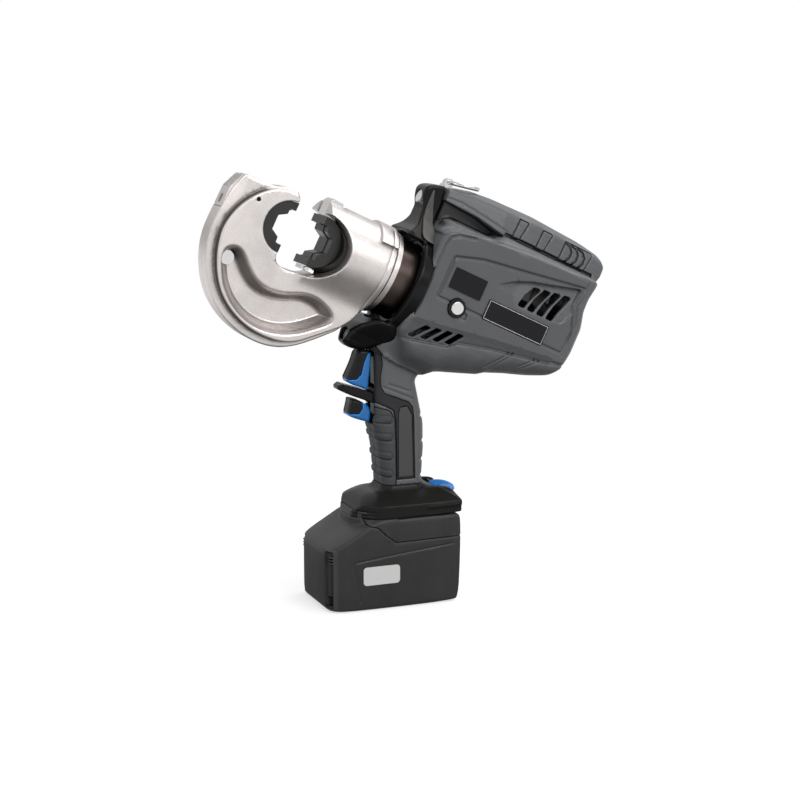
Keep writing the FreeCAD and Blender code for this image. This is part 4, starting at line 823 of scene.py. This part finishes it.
UPPER_TRIGGER = [(-22.8, 219), (-25.8, 209), (-31.4, 197.5), (-33.2, 194.0), (-30.8, 190.2), (-22, 186.9),
                 (-14.2, 183.6), (-13.6, 191.4), (-11.6, 207.2), (-10.6, 214.4), (-13, 218)]
UPPER_BLUE = [(-8, 221), (-15.2, 215), (-18.4, 207.6), (-20.8, 198), (-25.3, 194.0), (-45, 194.8),
              (-45, 180), (-8, 180)]
LOWER_TRIGGER = [(-29.2, 178.2), (-29.6, 173.9), (-32.0, 164.6), (-32.0, 162.2), (-13.8, 155.6),
                 (-12.2, 158.8), (-12.6, 171.6)]
LOWER_BLUE = [(-8, 184), (-20.0, 184), (-19.8, 176.9), (-19.8, 168.4), (-23.0, 164.2), (-45, 165.4),
              (-45, 150), (-8, 150)]


# node, outline, where it is blue, lowest and highest point of its stem
TRIGGERS = (("upper_trigger", UPPER_TRIGGER, UPPER_BLUE, 188, 212),
            ("lower_trigger", LOWER_TRIGGER, LOWER_BLUE, 161, 172))


def build_triggers():
    space = Space((-35, -10, 153), (2, 10, 221), 0.35, barrel=False)
    x, y, z = space.a, space.y, space.w
    across = np.abs(y)
    for node, outline, blue, low, high in TRIGGERS:
        body = slab(inside_distance(softened(outline, 2), x, z), across, 8.9, 2.6)
        body = body + 0.5 * bump(across - 5.2, 0.7) * ease(-10 - x, 4)
        stem = slab(common(np.abs(x + 11.5) - 8.5, span(z, low, high)), across, 5, 1)
        region = inside_distance(blue, x, z)
        black = smax(union(body, stem), -(region - 0.12), 0.4)
        add_piece(node + "_body", black, space, node, "trigger_black", node, adaptivity=0.003)
        cheeks = smax(smax(body + 0.2, region + 0.12, 0.4), -(stem - 0.2), 0.3)
        add_piece(node + "_blue", cheeks, space, node, "control_blue", node + "_cheeks", adaptivity=0.003)


def build_plate_rim():
    """Plain raised rim of the rating plate."""
    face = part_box("rating_plate")[0][1] / MM
    space = Space((77, face - 0.3, -4), (144, face + 0.5, 19), 0.12)
    u, y, w = space.a, space.y, space.w
    flat = inside_distance(rounded([(80, -1.0, 1), (140.5, -1.0, 1), (140.5, 16.0, 1), (80, 16.0, 1)]), u, w)
    d = common(np.abs(flat + 0.5) - 0.22, np.abs(y - face - 0.1) - 0.16)
    add_piece("plate_rim", d, space, "housing", "white_label", adaptivity=0.01)


def build_collar():
    space = Space((-12, -48, -71), (33, 48, 91), 0.6)
    fins = fin_shape(space)
    d = smax(collar_shape(space), -(fins - 0.15), 0.3)
    add_piece("collar_moulding", d, space, "housing", "collar_black", "front_collar", adaptivity=0.003)
    # the cheeks are painted lighter than the collar, a painted reflection on their flat faces
    add_piece("collar_cheeks", fins, space, "housing", "collar_black", finish="cheek_painted_light", adaptivity=0.003)


def build_guard():
    space = Space((-6, -12, -118), (52, 12, -84), 0.4)
    add_piece("guard_wing", guard_shape(space), space, "housing", "collar_black", "finger_guard")


# ============ head
MOUTH = [(-102, 60), (-102.4, -20), (-101.6, -26.5), (-98, -31), (-89, -31.9), (-79, -31.0), (-75, -28),
         (-75.2, 60)]
PLATE_LINE = [(-153, -24), (-151.4, -34), (-148, -45), (-142.6, -56), (-135.5, -66.5), (-126, -75.5),
              (-114.5, -82.5), (-101, -87.6), (-86, -89.8), (-69, -88.6), (-56, -84), (-46, -76),
              (-12, -46.5), (-12, 0), (-76, 0), (-76, 25), (-102.4, 25), (-103.6, 28.3), (-108.5, 28.9),
              (-114.5, 27.9), (-121, 26.2), (-128, 23), (-136, 16.6), (-143.5, 7.5), (-149, -3),
              (-152.2, -14)]
BAND_LINE = [(-160, -16), (-160, -28), (-157.4, -41.8), (-151.8, -55.6), (-144, -68.4), (-133.8, -79.3),
             (-121, -88), (-106, -94), (-90, -96.8), (-74, -96), (-60, -91.6), (-44, -81), (-12, -50),
             (-12, 0), (-76, 0), (-76, 28), (-101.6, 28), (-102, 30.6), (-108, 30.8), (-114.8, 30.2),
             (-121, 27.6), (-126, 26.2), (-150, 26.2), (-153, 24.4), (-157.6, 11), (-159.3, 0)]
BLOCK_SEAT = [(-148.9, 40), (-148.9, -7.1), (-175, -7.1), (-175, 40)]
POCKET_LINE = [(-145.4, -40), (-144.4, -35), (-140.4, -31.6), (-134.8, -30), (-129.2, -31.5), (-124, -35.3),
               (-118.7, -40.6), (-113, -45.3), (-106.5, -49.2), (-98, -51.4), (-88, -50.8), (-78, -47.8),
               (-70, -44), (-61, -41.9), (-52, -42.2), (-45, -44), (-38, -47), (-33, -51), (-32.6, -56),
               (-36.6, -61), (-44, -67), (-52.5, -74), (-63, -80.2), (-74, -84.2), (-85, -86), (-96, -85.8),
               (-106.5, -83.4), (-115.5, -79.4), (-123.4, -74.4), (-130, -68.4), (-135.6, -61.8),
               (-139.6, -55), (-143.4, -47.4)]
PIN_PLACE = (-137.7, -42.9)


def build_head():
    space = Space((-163, -40, -100), (-7, 40, 43), MEDIUM_STEP)
    u, y, w = space.a, space.y, space.w
    across = np.abs(y)
    radial = np.hypot(y, w)
    outline = inside_distance(softened(PLATE_LINE, 2), u, w)
    plate = slab(outline, across, 19.0, 1.6)
    band = slab(inside_distance(softened(BAND_LINE, 2), u, w), across, 11.0, 1.6)
    band = band + 0.5 * bump(across, 0.5)
    cylinder = slab(radial - 36.0, np.abs(u + 42.0), 33.0, 1.4)
    pad = smax(slab(radial - 38.4, np.abs(u + 18.0), 9.0, 2.0), 21.6 - w, 2.0)
    d = smin(smin(plate, band, 1.0), smin(cylinder, pad, 1.5), 11.0)
    d = smax(d, u + 9.0, 1.0)
    d = d + 0.45 * bump(u + 14.5, 0.7) * ease(radial - 34, 2)
    # the mouth, the ram's bore and the keepers' channels
    seat = disc(u, w, (-101, 0), 22.3)
    cross = disc(u, w, (-76, -3), 27.5)
    keeper = common(across - 10, np.abs(u + 82) - 19, np.abs(w + 23) - 4.2)
    d = smax(d, -union(seat, cross, inside_distance(softened(MOUTH, 2), u, w), keeper), 1.2)
    d = smax(d, -common(radial - 24.05, -76 - u), 0.8)
    d = smax(d, -common(across - 10, np.abs(u + 66.3) - 9.8, 20 - w), 0.8)
    # pocket in each face, the pin that stands in it, the lock pin's bore and the lock block's seat
    rim = inside_distance(softened(POCKET_LINE), u, w)
    deep = 19.0 - 12.0 * ease(-rim - 4.6, 9.0) - 1.2 * ease(-rim - 0.6, 1.2)
    d = smax(d, -common(rim, deep - across), 1.2)
    d = smax(d, -disc(u, w, (-135, 11), 1.6), 0.4)
    d = smax(d, -disc(u, w, PIN_PLACE, 6.05), 0.3)
    d = smax(d, -common(radial - 3.2, u + 101), 0.3)
    d = smax(d, -common(inside_distance(BLOCK_SEAT, u, w), across - 10.1), 0.3)
    # shade on the pocket's upper wall and along the step from plate to band
    rise_u, rise_w = np.gradient(rim[:, 0, :], space.spacing)
    facing = np.clip(0.85 * rise_w + 0.55 * rise_u, 0, 1)[:, None, :]
    wall = 0.85 * facing * bump(rim + 4.4, 3.6) * (across > 5) * (rim < 0.3)
    step = 0.95 * bump(outline - 0.6, 1.3) * (across < 18.2) * (across > 10.5)
    step = step * ease(-40 - u + 0.9 * (w + 60), 30) * (u < -60) * (w < 22)
    add_piece("c_forging", d, space, "head", "forged_steel", "c_head", adaptivity=0.006,
              dark=-0.7 * np.maximum(wall, step))


# ============ battery and foot
FOOT_TOP = 101.4
FOOT_SIDE = [(-33.4, 70), (61, 70), (61.5, 86), (60, 91), (52, 95), (40, 96.6), (-8, 96.6), (-18, 95.2),
             (-25, 91), (-29, 85.5), (-33.4, 80.5)]
REST_SIDE = [(30, 80), (59.0, 80), (59.4, 88), (58.8, 93.6), (54.5, 97.0), (47, 98.3), (39, 98.5), (33, 97.8)]
FOOT_PLAN = [(-34, -9), (-31.5, -17), (-26, -26), (-19.5, -34), (-11, -37.6), (0, -38.2), (56, -38.2),
             (61, -36), (61.8, -30), (61.8, 30), (61, 36), (56, 38.2), (0, 38.2), (-11, 37.6), (-19.5, 34),
             (-26, 26), (-31.5, 17), (-34, 9)]


def foot_outer(space):
    """The foot's outside, and its plan."""
    x, y, z = space.a, space.y, space.w
    side = inside_distance(softened(FOOT_SIDE, 2), x, z)
    plan = inside_distance(softened(FOOT_PLAN, 2), x, y)
    lift = np.clip(z - 88.3, 0, 14)
    d = smax(side, (plan + 1.5 * lift + 0.08 * lift ** 2) * 0.68, 2.0)
    d = np.where(z < 88.0, smax(side, plan, 1.2), d)
    neck = slab(inside_distance([(-3.0, 60), (-3.1, 110), (33.5, 110), (33.5, 60)], x, z), np.abs(y),
                HANDLE_HALF, 9.0)
    d = smin(d, neck, 8.0)
    for height in (80.6, 83.0):
        d = d + 0.5 * bump(z - height, 0.5) * ease(-18 - x, 6)
    return np.maximum(d, z - FOOT_TOP), plan


def channels(space, gap):
    """Where the battery's rails and tower run through the foot, with that much room round them."""
    across, x, z = np.abs(space.y), space.a, space.w
    room = common(across - 13.0 - gap, x - 32, z - 83.0 - gap)
    for y0, y1, z0, z1 in RAILS:
        room = union(room, common(span(across, y0, y1) - gap, span(z, z0, z1) - gap, x - 56))
    return room


BATTERY_SIDE = [(-57, 0), (52.6, 0), (57.4, 3), (59.4, 30), (60.8, 52), (60.6, 70), (58, 76.4), (53, 76.9),
                (-16, 76.9), (-20, 76.2), (-38, 66.2), (-53, 58.4), (-61, 54.7), (-64.4, 49), (-64.0, 12),
                (-61.6, 3)]
BATTERY_PLAN = [(-40, -39.5), (-48, -39.1), (-55.0, -37.4), (-59.6, -33.6), (-62.6, -24), (-64.2, -10),
                (-64.2, 10), (-62.6, 24), (-59.6, 33.6), (-55.0, 37.4), (-48, 39.1), (-40, 39.5),
                (56.8, 39.5), (60.8, 35), (60.8, -35), (56.8, -39.5)]
SEAM_LINE = rounded([(-26, 78), (-25, 73, 2), (-17, 71, 2), (-10.3, 64.2, 2), (-1.2, 57, 3), (80, 57.4),
                     (80, 200), (-26, 200)])
RAILS = ((20, 24, 76, 83), (20, 28, 80.6, 83))      # least and most |y|, then z
SIDE_PANEL = [(-33.5, 8), (-39, 41), (-36, 42.6), (0, 46.6), (54, 51.6)]


def build_battery():
    space = Space((-67, -41.5, -2), (63.5, 41.5, 85), MEDIUM_STEP, barrel=False)
    x, y, z = space.a, space.y, space.w
    across = np.abs(y)
    side = inside_distance(softened(BATTERY_SIDE, 2), x, z)
    plan = inside_distance(softened(BATTERY_PLAN, 2), x, y)
    d = smax(side, plan, 3.0)
    crown = z - (73.6 + 0.6 * (x + 30)) + 5.0 * (across / 39.5) ** 2.4 - 2.0
    d = smax(d, crown * 0.82, 4.0)
    d = smax(d, across - (39.9 - 0.006 * np.abs(z - 30)), 2.0)
    foot, plan_of_foot = foot_outer(space)
    d = smin(d, common(plan_of_foot - 0.4, z - 76.9, 60 - z, x), 2.0)
    # channels in the front face, each with ribs at its top and a slot at its foot
    beside = np.abs(across - 31)
    channel = common(beside - 4.2, x + 50, np.abs(z - 28) - 24.5)
    d = smax(d, -common(channel, -(d + 2.2)), 0.8)
    for height in (43.0, 45.6, 48.2):
        bar = common(np.abs(z - height) - 0.7, beside - 4.2, np.abs(z - 46) - 4.5, x + 50, -x - 59.6)
        d = smin(d, bar, 0.6)
    vent = common(beside - 3.4, np.abs(z - 9) - 4.5, x + 50, -(d + 5))
    d = smax(d, -vent, 0.5)
    d = d + 0.7 * bump(path_distance(SIDE_PANEL, x, z), 0.6) * (across > 30) * (x < 52)
    # hollow case with a slot for the latch, parted at the seam
    slot = common(38.5 - x, across - 8.6, 74.6 - z, z - 78)
    case = common(d, -(d + WALL), -slot)
    region = inside_distance(SEAM_LINE, x, z)
    lower = smax(case, -(region - 0.25), 0.6)
    add_piece("battery_lower_case", lower, space, "battery", "battery_case", "battery_lower",
              adaptivity=0.003, dark=d + 1.9)
    # rails and tower that slide into the foot, and plugs that close its channels in front
    upper = smax(case, region + 0.25, 0.6)
    for y0, y1, z0, z1 in RAILS:
        upper = union(upper, common(span(across, y0, y1), span(z, z0, z1), np.abs(x - 19) - 35))
    tower = common(across - 13, np.abs(x - 4) - 16, np.abs(z - 79.5) - 3.5)
    tower = common(tower, -common(np.abs(across - 7) - 1.6, 6 - x, 78 - z))
    plugs = common(foot, channels(space, 0.0), x + 12, 76 - z)
    upper = union(upper, tower, plugs)
    add_piece("battery_upper_case", upper, space, "battery", "battery_case", "battery_upper",
              adaptivity=0.003)


def build_foot():
    space = Space((-40, -41, 71), (64, 41, 103), MEDIUM_STEP, barrel=False)
    x, y, z = space.a, space.y, space.w
    across = np.abs(y)
    d = foot_outer(space)[0]
    d = smax(d, along(x, ((-36, 8, 62), (77.2, 77.6, 78.3))) - z, 0.6)
    d = np.maximum(d, -channels(space, 0.4))
    # rise round the latch, the well that the latch sits in, and the throat for the battery's tower
    rest = inside_distance(softened(REST_SIDE, 2), x, z)
    rest = smax(rest, (across - 21.6 - 1.1 * (97.6 - z)) * 0.67, 2.5)
    d = smin(d, np.maximum(rest, 87 - z), 5.0)
    well = slab(common(41.2 - x, 87 - z), across, 18.2, 2.0)
    hole = common(np.abs(x - 44) - 5.5, across - 9.5, z - 90)
    d = smax(d, -union(well, hole), 0.8)
    throat = common(np.abs(x - 16) - 14, across - 12, 87 - z)
    add_piece("foot_moulding", np.maximum(d, -throat), space, "housing", "collar_black", "battery_foot",
              finish="foot_black", adaptivity=0.003)


def build_latch():
    """Blue thumb pad that sits in the recess at the back of the foot."""
    space = Space((43, -18, 87), (69, 18, 100), 0.35, barrel=False)
    x, y, z = space.a, space.y, space.w
    plan = (np.hypot((x - 56.4) / 10.6, y / 16.8) - 1) * 10.0
    top = 97.4 - 0.02 * (x - 54) ** 2 - 0.008 * y ** 2
    d = smax(plan, z - top, 3.0)
    d = smax(d, 91.4 - z, 0.8)
    d = d + 0.35 * np.sin(2 * math.pi * y / 2.4) * ease(z - 94, 3) * ease(9.0 - np.abs(y), 2)
    add_piece("latch_pad", d, space, "latch", "control_blue", "battery_latch")


# ============ build everything
add_camera()
add_world()
add_lamp("key", (0.7, -2.1, 1.5), (1.3, 1.3), 22)
add_lamp("fill", (-1.9, -0.9, 1.1), (0.6, 1.2), 4)
add_lamp("top", (1.0, 0.1, 1.8), (1.6, 1.6), 13)
add_floor()

slot_of = {s["node"]: s["material_slot"] for s in frame["record"]["subparts"]}
for name, node in NODES.items():
    paint(node, MATS[slot_of[name]])
paint(NODES["latch_pin"], MATS["foot_black"])

build_housing()
build_collar()
build_guard()
build_head()
build_plate_rim()
build_triggers()
build_battery()
build_foot()
build_latch()

bpy.context.scene.view_settings.view_transform = "Standard"
